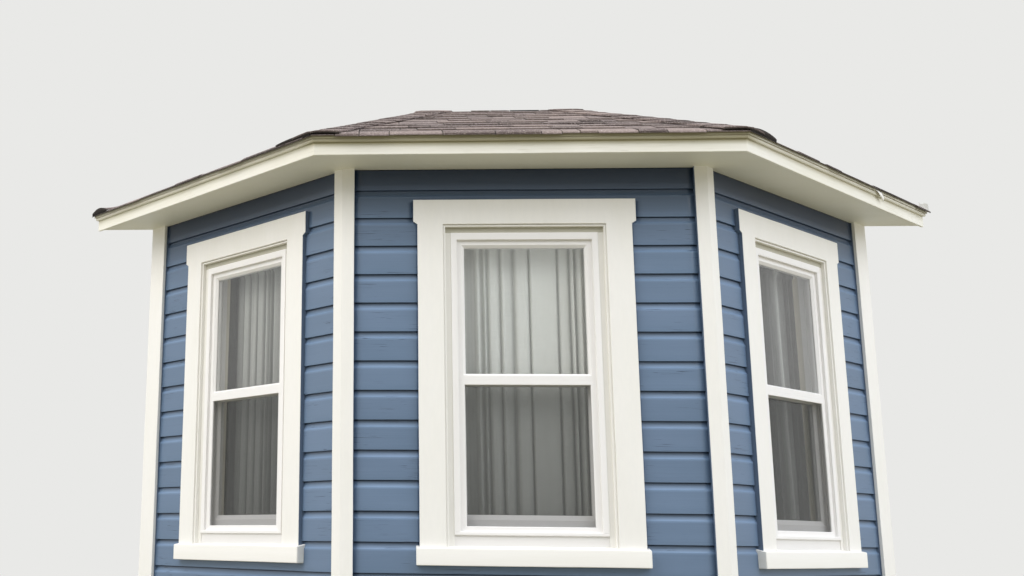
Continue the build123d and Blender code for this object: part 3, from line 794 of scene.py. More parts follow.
@dataclass(frozen=True)
class Plaster:
    """Gypsum plaster with matt wall paint, rolled on, which leaves a soft orange-peel relief."""

    name: str = "plaster_matt_paint"
    colour: str = "#dcd8cc"
    aged: str = "#cfcabd"

    def material(self) -> bpy.types.Material:
        """Builds the material. The roller's relief is about 4.5 mm wide.

        Returns:
            The finished material.
        """
        material, tree = new_material(self.name)
        source = add_node(tree, "TexCoord").outputs["Object"]
        patch = add_node(tree, "TexNoise", {"Vector": source, "Scale": 1.5, "Detail": 3.0})
        peel = add_node(tree, "TexNoise", {"Vector": source, "Scale": 220.0, "Detail": 2.0})
        share = add_node(tree, "MapRange", {0: patch, 1: 0.35, 2: 0.7, 3: 0.0, 4: 0.5})
        colour = add_node(tree, "Mix", {0: share, 6: linear(self.colour), 7: linear(self.aged)},
                          data_type="RGBA")
        bump = add_node(tree, "Bump", {"Strength": 0.35, "Distance": 0.0008, "Height": peel})
        shader = add_node(tree, "BsdfPrincipled", {"Base Color": colour, "Roughness": 0.85, "Normal": bump})
        add_node(tree, "OutputMaterial", {"Surface": shader})
        return material


@dataclass(frozen=True)
class BareWood:
    """Sawn or planed softwood or oak, with rings drawn out along the grain.

    Saw marks and open pores keep raw lumber matt. A varnished floor is glossier and has a
    dark joint between strips.
    """

    name: str
    light: str
    dark: str
    grain: tuple[float, float, float]
    roughness: float = 0.75
    strip: float = 0.0
    relief: float = 0.0008
    joint: str = "#1d1510"

    def material(self) -> bpy.types.Material:
        """Builds the material. Rings are 9 to 14 mm apart, and grain follows the low scale.

        Returns:
            The finished material.
        """
        material, tree = new_material(self.name)
        source = add_node(tree, "TexCoord").outputs["Object"]
        along = add_node(tree, "Mapping", {"Vector": source, "Scale": self.grain})
        rings = add_node(tree, "TexNoise", {"Vector": along, "Scale": 1.0, "Detail": 4.0, "Roughness": 0.6,
                                            "Distortion": 1.2})
        broad = add_node(tree, "TexNoise", {"Vector": source, "Scale": 1.4, "Detail": 2.0})
        share = add_node(tree, "MapRange", {0: rings, 1: 0.35, 2: 0.65, 3: 0.0, 4: 1.0})
        dark = linear(self.dark)
        colour = add_node(tree, "Mix", {0: share, 6: linear(self.light), 7: dark}, data_type="RGBA")
        share = add_node(tree, "MapRange", {0: broad, 1: 0.35, 2: 0.7, 3: 0.0, 4: 0.35})
        colour = add_node(tree, "Mix", {0: share, 6: colour, 7: dark}, data_type="RGBA")
        height = rings
        if self.strip > 0:
            strips = add_node(tree, "Mapping", {"Vector": source, "Scale": (1.0, 1 / self.strip, 1.0)})
            y = add_node(tree, "SeparateXYZ", {"Vector": strips}).outputs["Y"]
            part = add_node(tree, "Math", {0: y}, operation="FRACT")
            whole = add_node(tree, "Math", {0: y}, operation="FLOOR")
            tone = add_node(tree, "TexWhiteNoise", {"W": whole}, noise_dimensions="1D")
            share = add_node(tree, "MapRange", {0: tone, 1: 0.0, 2: 1.0, 3: 0.0, 4: 0.4})
            colour = add_node(tree, "Mix", {0: share, 6: colour, 7: dark}, data_type="RGBA")
            joint = add_node(tree, "MapRange", {0: part, 1: 0.0, 2: 0.035, 3: 1.0, 4: 0.0})
            colour = add_node(tree, "Mix", {0: joint, 6: colour, 7: linear(self.joint)}, data_type="RGBA")
            height = add_node(tree, "Math", {0: rings, 1: joint}, operation="SUBTRACT")
        bump = add_node(tree, "Bump", {"Strength": 0.5, "Distance": self.relief, "Height": height})
        shader = add_node(tree, "BsdfPrincipled", {"Base Color": colour, "Roughness": self.roughness,
                                                   "Normal": bump})
        add_node(tree, "OutputMaterial", {"Surface": shader})
        return material


@dataclass(frozen=True)
class EnamelledSheet:
    """Baked enamel on thin sheet metal: smooth, with a low gloss, faint dents and dust."""

    name: str
    colour: str
    dust: str = "#8d857b"

    def material(self) -> bpy.types.Material:
        """Builds the material. Dents are about 60 mm wide.

        Returns:
            The finished material.
        """
        material, tree = new_material(self.name)
        source = add_node(tree, "TexCoord").outputs["Object"]
        dents = add_node(tree, "TexNoise", {"Vector": source, "Scale": 16.0, "Detail": 2.0})
        dust = add_node(tree, "TexNoise", {"Vector": source, "Scale": 7.0, "Detail": 4.0})
        share = add_node(tree, "MapRange", {0: dust, 1: 0.4, 2: 0.7, 3: 0.0, 4: 0.35})
        colour = add_node(tree, "Mix", {0: share, 6: linear(self.colour), 7: linear(self.dust)},
                          data_type="RGBA")
        bump = add_node(tree, "Bump", {"Strength": 0.3, "Distance": 0.001, "Height": dents})
        shader = add_node(tree, "BsdfPrincipled", {"Base Color": colour, "Roughness": 0.42, "Normal": bump})
        add_node(tree, "OutputMaterial", {"Surface": shader})
        return material


class Finishes:
    """Every finish on the bay, built once."""

    def __init__(self) -> None:
        """Builds all materials."""
        smooth = {"ridges": (14.0, 60.0, 14.0), "relief": 0.0002, "tone_range": 0.02, "roughness": 0.45}
        # Its dark colour is painted shade in the grooves and under the eave, and soiling in the grain and
        # cracks.
        self.siding = PaintedWood("house_paint_slate_blue", "#627892", "#6a7f9a", "#142339", relief=0.0005,
                                  grain_dirt=0.05, crack=0.65, tone_range=0.36, grime_and_shade_share=0.95,
                                  roughness=0.42, specular=0.6).material()
        # Its dark colour is painted shade in the casing's groove, stops and strips under the head.
        self.trim = PaintedWood("house_paint_cream_white", "#f3f1ec", "#efede6", "#8f8a6c", grime_and_shade_share=0.8,
                                **smooth).material()
        self.cut_in = PaintedWood("house_paint_cream_cut_in_blue", "#f3f1ec", "#efede6", "#566b86",
                                  grime_and_shade_share=0.95, **smooth).material()
        # Its dark colour is mildewed paint and painted shade under the roof's overhang.
        self.eave = PaintedWood("house_paint_cream_mildewed_and_shaded", "#f3f1e8", "#edeadc", "#82783e",
                                ridges=(6.0, 90.0, 6.0), relief=0.0003, grain_dirt=0.05, crack=0.25,
                                tone_range=0.02, grime_and_shade_share=0.92, roughness=0.55).material()
        self.solid_trim = PaintedWood("house_paint_cream_white_flat_work", "#efede1", "#eae8da", "#a39d8c",
                                      Follow.OBJECT, (60.0, 60.0, 60.0), relief=0.0002,
                                      roughness=0.45).material()
        # Its dark colour is painted shade under the nose of each frame's base.
        self.frame = PaintedWood("window_enamel_white", "#f3f1ef", "#efedea", "#8f8b7c", grime_and_shade_share=0.6,
                                 ridges=(14.0, 60.0, 14.0), relief=0.0001, tone_range=0.015,
                                 roughness=0.36).material()
        self.shingle = MineralShingle().material()
        self.glass = FloatGlass().material()
        self.mesh = InsectMesh().material()
        self.cloth = SheerCloth().material()
        self.concrete = CastConcrete().material()
        self.plaster = Plaster().material()
        self.lumber = BareWood("sawn_softwood", "#cbb08a", "#a98a63", (30.0, 4.0, 90.0)).material()
        self.sheathing = BareWood("roof_board_softwood", "#b99768", "#8f6d42", (4.0, 70.0, 4.0),
                                  strip=0.14).material()
        self.floor = BareWood("oak_strip_floor_varnished", "#a9713d", "#7a4a24", (5.0, 110.0, 5.0),
                              roughness=0.32, strip=0.057, relief=0.0003).material()
        self.rod = EnamelledSheet("white_enamel_rod", "#e6e4de").material()
        self.flashing = EnamelledSheet("pale_enamel_flashing", "#d9d8d2").material()


def dress_node(node: str, material: bpy.types.Material) -> None:
    """Gives a CAD node that stays its finish.

    Args:
        node: Its name.
        material: The finish.
    """
    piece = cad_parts[node]
    piece.data.materials.clear()
    piece.data.materials.append(material)
    LOG.info("dressed %s with %s", node, material.name)


@dataclass(frozen=True)
class WindowSizes:
    """Sizes of one window in metres, from the middle of its casing and the sill's underside."""

    side: Side
    half_casing: float
    casing_width: float = 0.112
    casing_top: float = 1.568
    head_ear: float = 0.018
    ear_chamfer: float = 0.012
    stop: float = 0.034
    sill_ear: float = 0.014
    sill_height: float = 0.070
    sill_standout: float = 0.038
    sill_slope: float = math.tan(math.radians(12))
    frame_face: float = 0.026
    frame_head: float = 0.032
    track: float = 0.007
    sash_clearance: float = 0.001
    curtain_clearance: float = 0.019
    from_house: float = 0.321
    sill_bottom: float = 1.500

    @property
    def casing_edge(self) -> float:
        """Half the width between the side casings."""
        return self.half_casing - self.casing_width

    @property
    def head_bottom(self) -> float:
        """Underside of the head casing."""
        return self.casing_top - self.casing_width

    @property
    def opening(self) -> float:
        """Half the width of the wall's opening."""
        return self.casing_edge - self.stop

    @property
    def opening_top(self) -> float:
        """Top of the wall's opening."""
        return self.head_bottom - self.stop

    @property
    def sash(self) -> float:
        """Half the width of a sash."""
        return self.opening - self.frame_face + self.track - self.sash_clearance

    def sill_top(self, y: float) -> float:
        """Height of the sloping sill at a depth."""
        return self.sill_height + (y + self.sill_standout) * self.sill_slope

    @property
    def along(self) -> float:
        """Distance from the left end of the wall to the middle of the window."""
        from_house = self.from_house + self.half_casing
        return {Side.LEFT: from_house, Side.FRONT: WALLS.front_width / 2,
                Side.RIGHT: WALLS.side_length - from_house}[self.side]

    @property
    def place(self) -> np.ndarray:
        """Matrix of the window's own frame."""
        return WALLS.placement(self.side, self.along, self.sill_bottom)


WINDOWS = (WindowSizes(Side.LEFT, 0.448), WindowSizes(Side.FRONT, 0.465), WindowSizes(Side.RIGHT, 0.448))


@dataclass
class SubAssembly:
    """What the sub-assemblies share: the finishes, and sizes in metres that more than one needs.

    Offsets such as standout and sheathing are measured outwards from the face of the walls.
    """

    finishes: Finishes
    standout: float = 0.019
    sheathing: float = -0.019
    soffit: float = 3.213
    front_leg: float = 0.055
    side_leg: float = 0.052
    wall_board: float = 0.114
    fascia_face: float = 0.240
    fascia_top: float = 3.285
    rise: float = 0.435
    deck: float = 0.01636


@dataclass
class CoveSiding(SubAssembly):
    """Cove-lap boards: each has a flat face, and a hollow cove under the board above."""

    course: float = 0.127
    bottom: float = 0.7044
    groove: float = 0.0035
    groove_depth: float = 0.015
    cove_height: float = 0.0265
    cove_depth: float = 0.0085
    face_slope: float = 0.0015
    tuck: float = 0.004
    thickness: float = 0.0025
    common_sway: float = 0.0012
    own_sway: float = 0.0005
    bow: float = 0.0006
    stations: int = 40
    shade_below_eave: tuple[float, ...] = (0.02, 0.08, 0.10, 0.19, 0.22, 0.38)
    shade: tuple[float, ...] = (1.0, 0.85, 0.65, 0.36, 0.18, 0.0)
    tones: tuple[float, float] = (0.38, 0.54)

    def span(self, side: Side) -> tuple[float, float]:
        """Left and right end of the boards on a wall, tucked under its corner boards.

        Args:
            side: The wall.

        Returns:
            The two ends, measured along the wall.
        """
        arris = self.standout * math.tan(WALLS.cant / 2)
        length = WALLS.length(side)
        if side is Side.FRONT:
            return self.front_leg - arris - self.tuck, length - self.front_leg + arris + self.tuck
        low, high = self.wall_board - self.standout - self.tuck, length + arris - self.side_leg + self.tuck
        return (low, high) if side is Side.LEFT else (length - high, length - low)

    def profile(self) -> tuple[np.ndarray, ...]:
        """Section of the whole wall from the bottom up.

        Within a course, with h the height above its butt: a groove 15 mm deep lies under the
        butt, whose lower edge is eased. The face leans in by face_slope. Above it the cove has
        depth s + d (1 - (1 - t)^2.6) at height f + c t for t from 0 to 1, so it starts with a
        crisp edge and ends upright.

        The groove and the top of the cove carry a painted shade, the butt's eased edge and the cove's
        lower edge a painted highlight, and the top courses a painted shade that deepens nearer the eave.

        Returns:
            Height, offset, painted shade, painted highlight and shade, and course number of each point.
        """
        t = np.array([0.1, 0.22, 0.36, 0.52, 0.7, 0.86, 1.0])
        face = self.course - self.groove - self.cove_height
        cove_o = -self.face_slope - self.cove_depth * (1 - (1 - t) ** 2.6)
        cove_h = face + self.cove_height * t
        o = np.concatenate([[-self.groove_depth, -0.0025, -0.0006, 0.0, -0.0002, -0.0009,
                             -0.7 * self.face_slope, -self.face_slope], cove_o, [-self.groove_depth]])
        h = np.concatenate([[0.0, 0.0, 0.0006, 0.0024, 0.030, 0.066, face - 0.009, face], cove_h,
                            [self.course - self.groove]])
        # Painted shade in the groove under each butt and at the top of the cove.
        dirt_and_shade = np.concatenate([[0.6, 0.5, 0.2, 0, 0, 0, 0, 0], 0.4 * np.clip((t - 0.6) / 0.4, 0, 1), [0.7]])
        # Painted highlight on the eased butt and the cove's lower edge, painted shade at the cove's top.
        highlight_and_shade = np.concatenate([[0, 0, 0.12, 0.15, 0, 0, 0, 0.45],
                                np.interp(t, (0.1, 0.3, 0.7, 1), (0.55, 0.3, -0.1, -0.25)), [0]])
        count = int(np.ceil((self.soffit - self.bottom) / self.course))
        height = (self.bottom + self.course * np.arange(count)[:, None] + h).ravel()
        inside = height < self.soffit - TINY
        # Painted shade under the eave, deepest next to the soffit.
        under_eave = np.interp(self.soffit - height, self.shade_below_eave, self.shade)
        dirt_and_shade = np.maximum(np.tile(dirt_and_shade, count), under_eave)
        columns = [np.tile(o, count)[inside], dirt_and_shade[inside], np.tile(highlight_and_shade, count)[inside],
                   np.repeat(np.arange(count), len(h))[inside]]
        last = (-self.face_slope, self.shade[0], 0.0, count - 1)
        return (np.append(height[inside], self.soffit), *(np.append(c, v) for c, v in zip(columns, last)))

    def hole(self, window: WindowSizes, x: np.ndarray, z: np.ndarray) -> np.ndarray:
        """Which cells lie behind the casing or the sill.

        Args:
            window: Sizes of the window.
            x: Middles of the cells from the middle of the window.
            z: Middles of the cells from the underside of the sill.

        Returns:
            Truth of each cell as (len(z), len(x)).
        """
        wide, tall = np.abs(x)[None, :] + self.tuck, z[:, None]
        below_top = (tall > self.tuck) & (tall < window.casing_top - self.tuck)
        ear_foot = window.head_bottom + window.ear_chamfer + self.tuck
        cut = (wide < window.half_casing) & below_top
        cut |= (wide < window.half_casing + window.head_ear) & below_top & (tall > ear_foot)
        return cut | ((wide < window.half_casing + window.sill_ear) & below_top & (tall < window.sill_height))

    def build(self, window: WindowSizes) -> None:
        """Makes one wall's boards, with the window cut out.

        Args:
            window: Sizes of the window that the boards stop at.
        """
        side = window.side
        height, *columns = self.profile()
        ear_foot = window.head_bottom + window.ear_chamfer + self.tuck
        levels = window.sill_bottom + np.array([self.tuck, window.sill_height, ear_foot,
                                                window.casing_top - self.tuck])
        rows = np.searchsorted(height, levels)
        share = (levels - height[rows - 1]) / (height[rows] - height[rows - 1])
        offset, dirt_and_shade, highlight_and_shade, course = (np.insert(c, rows, c[rows - 1] + share * (c[rows] - c[rows - 1]))
                                       for c in columns)
        height, course = np.insert(height, rows, levels), np.floor(course + 1e-6).astype(int)
        low, high = self.span(side)
        reach = window.half_casing + np.array([0.0, window.head_ear, window.sill_ear]) - self.tuck
        edges = (window.along + reach, window.along - reach)
        x = np.unique(np.concatenate([np.linspace(low, high, self.stations), *edges]))
        x = x[(x >= low) & (x <= high)]
        rng = np.random.default_rng(40 + side.value)
        count = int(course.max()) + 1
        seeds = rng.integers(0, 9999, count)
        wave = np.stack([smooth_noise(x, int(s), 1.9) for s in seeds])[course]
        sway = np.stack([smooth_noise(x, int(s) + 1, 2.3) for s in seeds])[course]
        shift = rng.uniform(-self.bow, self.bow, count)[course][:, None]
        grid = np.empty((len(height), len(x), 3))
        grid[..., 0] = x
        grid[..., 1] = -(offset[:, None] + self.bow * wave + shift)
        free = ((height > self.bottom + 0.01) & (height < self.soffit - 0.01))[:, None]
        common = self.common_sway * smooth_noise(x, 60 + side.value, 2.6)
        grid[..., 2] = height[:, None] + free * (common + self.own_sway * sway)
        across, up = (x[1:] + x[:-1]) / 2, (height[1:] + height[:-1]) / 2
        cut = self.hole(window, across - window.along, up - window.sill_bottom)
        # Random tone of each board plus the profile's painted highlight and shade.
        tones = (rng.uniform(*self.tones, count)[course] + highlight_and_shade)[:, None]
        uv = np.stack(np.broadcast_arrays(x, height[:, None]), -1)
        uv = uv + np.stack([rng.uniform(0, 30, count)[course] for _ in range(2)], -1)[:, None]
        maker = MeshMaker(f"cove_siding_{side.label}")
        maker.add_grid(grid, WALLS.placement(side), uv, tone=tones, grime_and_shade=dirt_and_shade[:, None], keep=~cut)
        piece = maker.build(self.finishes.siding, [f"siding_{side.label}"], "siding_paint", closed=False,
                            sharp=25)
        thicken(piece, self.thickness)


@dataclass
class CornerTrim(SubAssembly):
    """Boards up the corners and against the house wall."""

    foot: float = 0.6905
    joint: tuple[float, float] = (0.014, 0.016)

    def corner_plan(self) -> np.ndarray:
        """Plan of the left front corner board.

        Returns:
            Its corners in the row frame, as (6, 2).
        """
        outer = WALLS.corners[1] + WALLS.steps[1] * self.standout
        inner = WALLS.corners[1] + WALLS.steps[1] * self.sheathing
        c, s = math.cos(WALLS.cant), math.sin(WALLS.cant)
        thick = self.standout - self.sheathing
        side_end = outer + np.array([-c, s]) * self.side_leg
        return np.array([outer + [self.front_leg, 0], outer, side_end, side_end + thick * np.array([s, c]),
                         inner, [outer[0] + self.front_leg, inner[1]]])

    def wall_plan(self) -> np.ndarray:
        """Plan of the left board against the house wall, with two points where the siding meets it.

        Returns:
            Its corners in the row frame, as (6, 2).
        """
        outer = WALLS.corners[0] + WALLS.steps[0] * self.standout
        inner = WALLS.corners[0] + WALLS.steps[0] * self.sheathing
        c, s = math.cos(WALLS.cant), math.sin(WALLS.cant)
        end, inwards = outer + np.array([c, -s]) * self.wall_board, np.array([s, c])
        return np.array([outer, end, *(end + depth * inwards for depth in self.joint),
                         end + (self.standout - self.sheathing) * inwards, inner])

    def upright(self, maker: MeshMaker, plan: np.ndarray, radii: Sequence[float], cut_in: Sequence[float],
                seed: int) -> None:
        """Carries a plan polygon up the corner, its edges wandering by half a millimetre.

        Args:
            maker: Collects the board.
            plan: Corners of its plan.
            radii: Radius of each of them.
            cut_in: How far the wall's paint covers each point of the rounded plan.
            seed: Chooses the unevenness.
        """
        section = fillet_profile(plan, radii)
        z = np.linspace(self.foot, self.soffit, 30)
        sway = 0.0005 * np.stack([smooth_noise(z, seed), smooth_noise(z, seed + 1)], -1)
        grid = np.empty((len(section), len(z), 3))
        grid[..., :2] = section[:, None] + sway
        grid[..., 1] = np.minimum(grid[..., 1], WALLS.house_wall_y)
        grid[..., 2] = z
        uv = np.stack([grid[..., 2], running_length(grid, 0)], -1) + seed
        maker.add_grid(grid, None, uv, grime_and_shade=np.array(cut_in)[:, None], wrap_rows=True, cap_ends=True)

    def build(self) -> None:
        """Makes the corner boards and the boards against the house wall.

        Ends are cut in with the paint of the siding, on the wall boards only at the joint.
        """
        bent_ends = (1, 0.7, 0.1, 0, 0, 0, 0, 0, 0, 0.1, 0.7, 1, 1, 0, 1)
        flat_end = (0, 0, 0, 0, 0, 0, 1, 1, 0)
        corner, wall = MeshMaker("bent_corner_boards"), MeshMaker("house_wall_boards")
        for n, sign in enumerate((np.ones(2), np.array([-1.0, 1.0]))):
            self.upright(corner, self.corner_plan() * sign, (0.002, 0.0025, 0.002, 0, 0, 0), bent_ends,
                         100 + 7 * n)
            self.upright(wall, self.wall_plan() * sign, (0.0, 0.002, 0, 0, 0, 0), flat_end, 120 + 7 * n)
        corner.build(self.finishes.cut_in, ["corner_boards"], "trim_paint")
        wall.build(self.finishes.cut_in, ["wall_boards"], "trim_paint")


@dataclass
class RunningTrim(SubAssembly):
    """Boards that go round the bay: skirt, fascia and the moulding under the roof edge."""

    skirt_standout: float = 0.003
    skirt_levels: tuple[float, ...] = (0.554, 0.690, 0.697, 0.7044)
    cap_standout: float = 0.025
    fascia_thickness: float = 0.019
    drip: float = 0.007
    mould_thickness: float = 0.012
    mould_height: float = 0.023
    deck_edge: float = 0.256
    strip_height: float = 0.018
    plain_mildew_and_shade: float = 0.2
    most_mildew_and_shade: float = 0.72
    mildew_and_shade_from: float = 0.54
    mildew_and_shade_rise: float = 0.42
    side_mildew_and_shade: tuple[float, float, float] = (0.55, 0.35, 0.45)
    strip_mildew_and_shade: float = 0.8
    spans: int = 22

    def mildew_and_shade(self, side_share: float) -> np.ndarray:
        """How strongly each station carries mildewed paint and painted shade: fully along the front,
        and less along the sides.

        Args:
            side_share: Its strength along the sides.

        Returns:
            One value a station, as (1, stations).
        """
        t = np.linspace(0, 3, 3 * self.spans + 1)
        front = np.clip((1.5 - np.abs(t - 1.5) - 0.94) / 0.06, 0, 1)
        return (side_share + (1 - side_share) * front)[None, :]

    def run(self, name: str, nodes: Sequence[str], plan: BayPlan, section: np.ndarray, grime_and_shade: Number,
            seed: int, material: bpy.types.Material) -> None:
        """Makes one board of a given section all round.

        Args:
            name: Name of the piece.
            nodes: CAD nodes that it stands for.
            plan: Lines that it follows.
            section: Section as (offset, height) points.
            grime_and_shade: How far each section point or station takes its finish's dark colour, as
                mildewed paint and painted shade, or one value.
            seed: Chooses the unevenness.
            material: Its finish.
        """
        grid = round_the_bay(plan, section, seed, self.spans)
        maker = MeshMaker(name)
        maker.add_grid(grid, None, metres_map(grid) + seed, grime_and_shade=grime_and_shade, wrap_rows=True, cap_ends=True)
        maker.build(material, nodes, "trim_paint", sharp=20)

    def build(self) -> None:
        """Makes the skirt, the fascia, the moulding and the strip over the edge of the roof deck.

        With s the share of the fascia's visible height, mildewed paint and painted shade cover
        plain_mildew_and_shade s of it and, under the moulding and the roof's overhang, another
        most_mildew_and_shade (s - mildew_and_shade_from) / mildew_and_shade_rise, up to
        most_mildew_and_shade. The shares in side_mildew_and_shade are those of the fascia, the
        moulding and the strip.
        """
        foot, cap_foot, nose, top = self.skirt_levels
        back, front, cap = self.sheathing, self.skirt_standout, self.cap_standout
        skirt = fillet_profile([(back, foot), (front, foot), (front, cap_foot), (cap, cap_foot), (cap, nose),
                                (0.0, top), (back, top)], (0, 0.003, 0, 0.001, 0.003, 0, 0))
        self.run("skirt_with_cap", ["skirt_boards"], WALLS, skirt, 0.0, 200, self.finishes.trim)
        inner, face = self.fascia_face - self.fascia_thickness, self.fascia_face
        low, high = self.soffit - self.drip, self.fascia_top
        foot = high - self.mould_height
        front = [(face, z) for z in np.linspace(low + 0.004, foot, 12)]
        edge = fillet_profile([(inner, low), (face, low), (face, low + 0.004)], (0.001, 0.003, 0))
        back = [(face, high), (inner, high + self.fascia_thickness * self.rise)]
        fascia = np.concatenate([edge, front[1:], back])
        # Painted shade under the roof's overhang, with mildewed paint, darkens the top of the fascia.
        share = np.clip((fascia[:, 1] - low) / (foot - low), 0, 1)
        darkening = self.most_mildew_and_shade * np.clip((share - self.mildew_and_shade_from) / self.mildew_and_shade_rise, 0, 1)
        dirt_and_shade = np.where(fascia[:, 0] > inner + 0.001, darkening + self.plain_mildew_and_shade * share, self.plain_mildew_and_shade)
        on_fascia, on_mould, on_strip = (self.mildew_and_shade(sides) for sides in self.side_mildew_and_shade)
        self.run("eave_fascia", ["fascia_boards"], EAVES, fascia, dirt_and_shade[:, None] * on_fascia, 210,
                 self.finishes.eave)
        out = face + self.mould_thickness
        mould = fillet_profile([(face, foot), (out - 0.004, foot), (out, foot + 0.006),
                                (out, high - self.mould_thickness * self.rise), (face, high)],
                               (0, 0.002, 0.003, 0, 0))
        # The moulding carries the same mildewed paint and painted shade.
        self.run("eave_moulding", ["eave_mouldings"], EAVES, mould, self.most_mildew_and_shade * on_mould, 220,
                 self.finishes.eave)
        back, front = self.deck_edge + 0.0003, self.deck_edge + 0.0015
        top = high + self.rise * (face - self.deck_edge) + self.deck - 0.001
        foot = top - self.strip_height
        strip = np.array([(back, foot), (front, foot), (front, top), (back, top)])
        # The strip over the deck's edge carries a painted shade under the shingles.
        self.run("deck_edge_strip", [], EAVES, strip, self.strip_mildew_and_shade * on_strip, 240, self.finishes.eave)


@dataclass
class ShingleRoof(SubAssembly):
    """Laminated shingles on three roof planes, with folded caps over the hips.

    Each tab in curled is given by its plane, the left (0) or right (1) end of the eave, its two
    edges from there, how far it reaches up, how high it has curled and how sharp its arch is.
    """

    edge: float = 0.272
    exposure: float = 0.131
    thick: float = 0.0085
    thin: float = 0.0040
    gap: float = 0.0020
    cap_half: float = 0.118
    cap_exposure: float = 0.120
    tab_inset: float = 0.007
    overhang: float = 0.020
    droop: float = 0.009
    uneven: float = 0.0012
    bed: float = 0.002
    underside: float = 0.0003
    least_cover: float = 0.0004
    head_lap: float = 0.015
    widths: tuple[float, float] = (0.07, 0.24)
    thin_share: float = 0.45
    # How dark the first course's butt is over each wall, as painted shade.
    butt_shade: tuple[float, float, float] = (0.95, 0.45, 0.95)
    curled: tuple[tuple[Side, int, float, float, float, float, float], ...] = (
        (Side.LEFT, 1, -0.24, -0.004, 0.12, 0.007, 0.7), (Side.RIGHT, 0, 0.004, 0.22, 0.12, 0.016, 0.7),
        (Side.LEFT, 0, 0.006, 0.15, 0.11, 0.022, 0.9))
    leaf_width: float = 0.058
    leaf_height: float = 0.042
    leaf_lean: float = 0.020
    sliver_top: tuple[float, float, float] = (1.108, -0.2555, 3.286)
    sliver_drift: float = 0.062
    sliver_drop: float = 0.043
    sliver_widths: tuple[float, float] = (0.012, 0.084)

    def height(self, offset: Number) -> Number:
        """Top of the deck at an offset: z = fascia top + rise (face - offset) + deck."""
        return self.fascia_top + self.rise * (self.fascia_face - offset) + self.deck

    def course_rows(self, first: bool, butt: float) -> tuple[np.ndarray, np.ndarray, np.ndarray]:
        """Rows of a course from its butt upwards.

        Args:
            first: True for the course at the eave, whose overhang is closed beneath.
            butt: How dark its cut edge is, as painted shade.

        Returns:
            Distance up from the butt, share of the butt's thickness (-1 marks the underside) and
            painted shade of each row.
        """
        depth = np.array([0.0, 0.0, 0.35 * self.exposure, self.exposure + self.head_lap])
        share, dirt_and_shade = np.array([-1.0, 1.0, 0.65, 0.0]), np.array([0.9, 0.1, 0.0, 0.4])
        if not first:
            return depth, share, dirt_and_shade
        rim = 0.9 * self.overhang
        depth = np.concatenate([[rim, 0.0, 0.0, rim], depth[2:]])
        share = np.concatenate([[-1.0, -1.0, 1.0, 0.93], share[2:]])
        return depth, share, np.concatenate([[1.0, butt, 0.6 * butt, 0.0], dirt_and_shade[2:]])

    def plane(self, side: Side) -> None:
        """Makes one plane, course by course.

        Its tabs have random widths and two thicknesses. Height over the deck is the tab's
        thickness times the row's share plus the bed times the rest. Tabs are parted by gaps 4 mm
        wide that reach down to the course below, and butts wander by a few millimetres. The
        overhang droops by d (1 - q / overhang)^1.5 at a distance q from the eave's edge.

        Args:
            side: The plane over this wall.
        """
        rng = np.random.default_rng(300 + side.value)
        maker = MeshMaker(f"shingle_courses_{side.label}")
        run = self.edge + EAVES.projection
        for k in range(int(np.ceil(run / self.exposure))):
            start = k * self.exposure
            low, high = (float(v) for v in EAVES.ends(side, self.edge - start))
            if high - low < 0.02:
                continue
            cuts = np.cumsum(rng.uniform(*self.widths, 60)) - rng.uniform(0.0, 0.2) + low
            cuts = cuts[(cuts > low + 0.03) & (cuts < high - 0.03)]
            left, right = np.concatenate([[low], cuts]), np.concatenate([cuts, [high]])
            thick = rng.choice([self.thin, self.thick], len(left), p=[self.thin_share, 1 - self.thin_share])
            slip = rng.uniform(0.0, 0.006, len(left)) if k == 0 else rng.uniform(-0.005, 0.005, len(left))
            tone = np.repeat(rng.uniform(0, 1, len(left)), 4)
            x = np.stack([left + self.gap, left + self.gap, right - self.gap, right - self.gap], 1).ravel()
            x[:2], x[-2:] = low, high
            top = np.tile([False, True, True, False], len(left))[None]
            depth, share, dirt_and_shade = self.course_rows(k == 0, self.butt_shade[side.value])
            under = share[:, None] < 0
            fade = np.clip(1 - depth / self.exposure, 0, 1)[:, None]
            q = np.clip(start + depth[:, None] + np.repeat(slip, 4) * fade, 0.0, run - TINY)
            lift = np.repeat(thick, 4) * share[:, None] + self.bed * (1 - share[:, None])
            lift = np.where(top, lift, self.uneven) + self.uneven * smooth_noise(x, 310 + k, 0.5)
            lift = np.where(under, self.underside, np.maximum(lift, self.least_cover))
            ends = EAVES.ends(side, self.edge - q)
            clipped = np.clip(np.broadcast_to(x, q.shape), *ends)
            droop = self.droop * np.clip(1 - q / self.overhang, 0, 1) ** 1.5
            grid = np.stack([clipped, q - self.edge, self.height(self.edge - q) + lift - droop], -1)
            # Gaps between tabs, butts and undersides carry a painted shade.
            grime_and_shade = np.where(top, dirt_and_shade[:, None], 0.92)
            step = (np.diff(x) < TINY)[None]
            wide = np.maximum(np.diff(clipped[:-1]), np.diff(clipped[1:])) > TINY
            inner = (clipped[1:, 1:] > ends[0][1:, 1:] + TINY) & (clipped[1:, 1:] < ends[1][1:, 1:] - TINY)
            maker.add_grid(grid, EAVES.placement(side), tone=tone, grime_and_shade=grime_and_shade, keep=wide | (step & inner))
        maker.build(self.finishes.shingle, [f"shingles_{side.label}"], "asphalt_shingle", closed=False,
                    sharp=25)

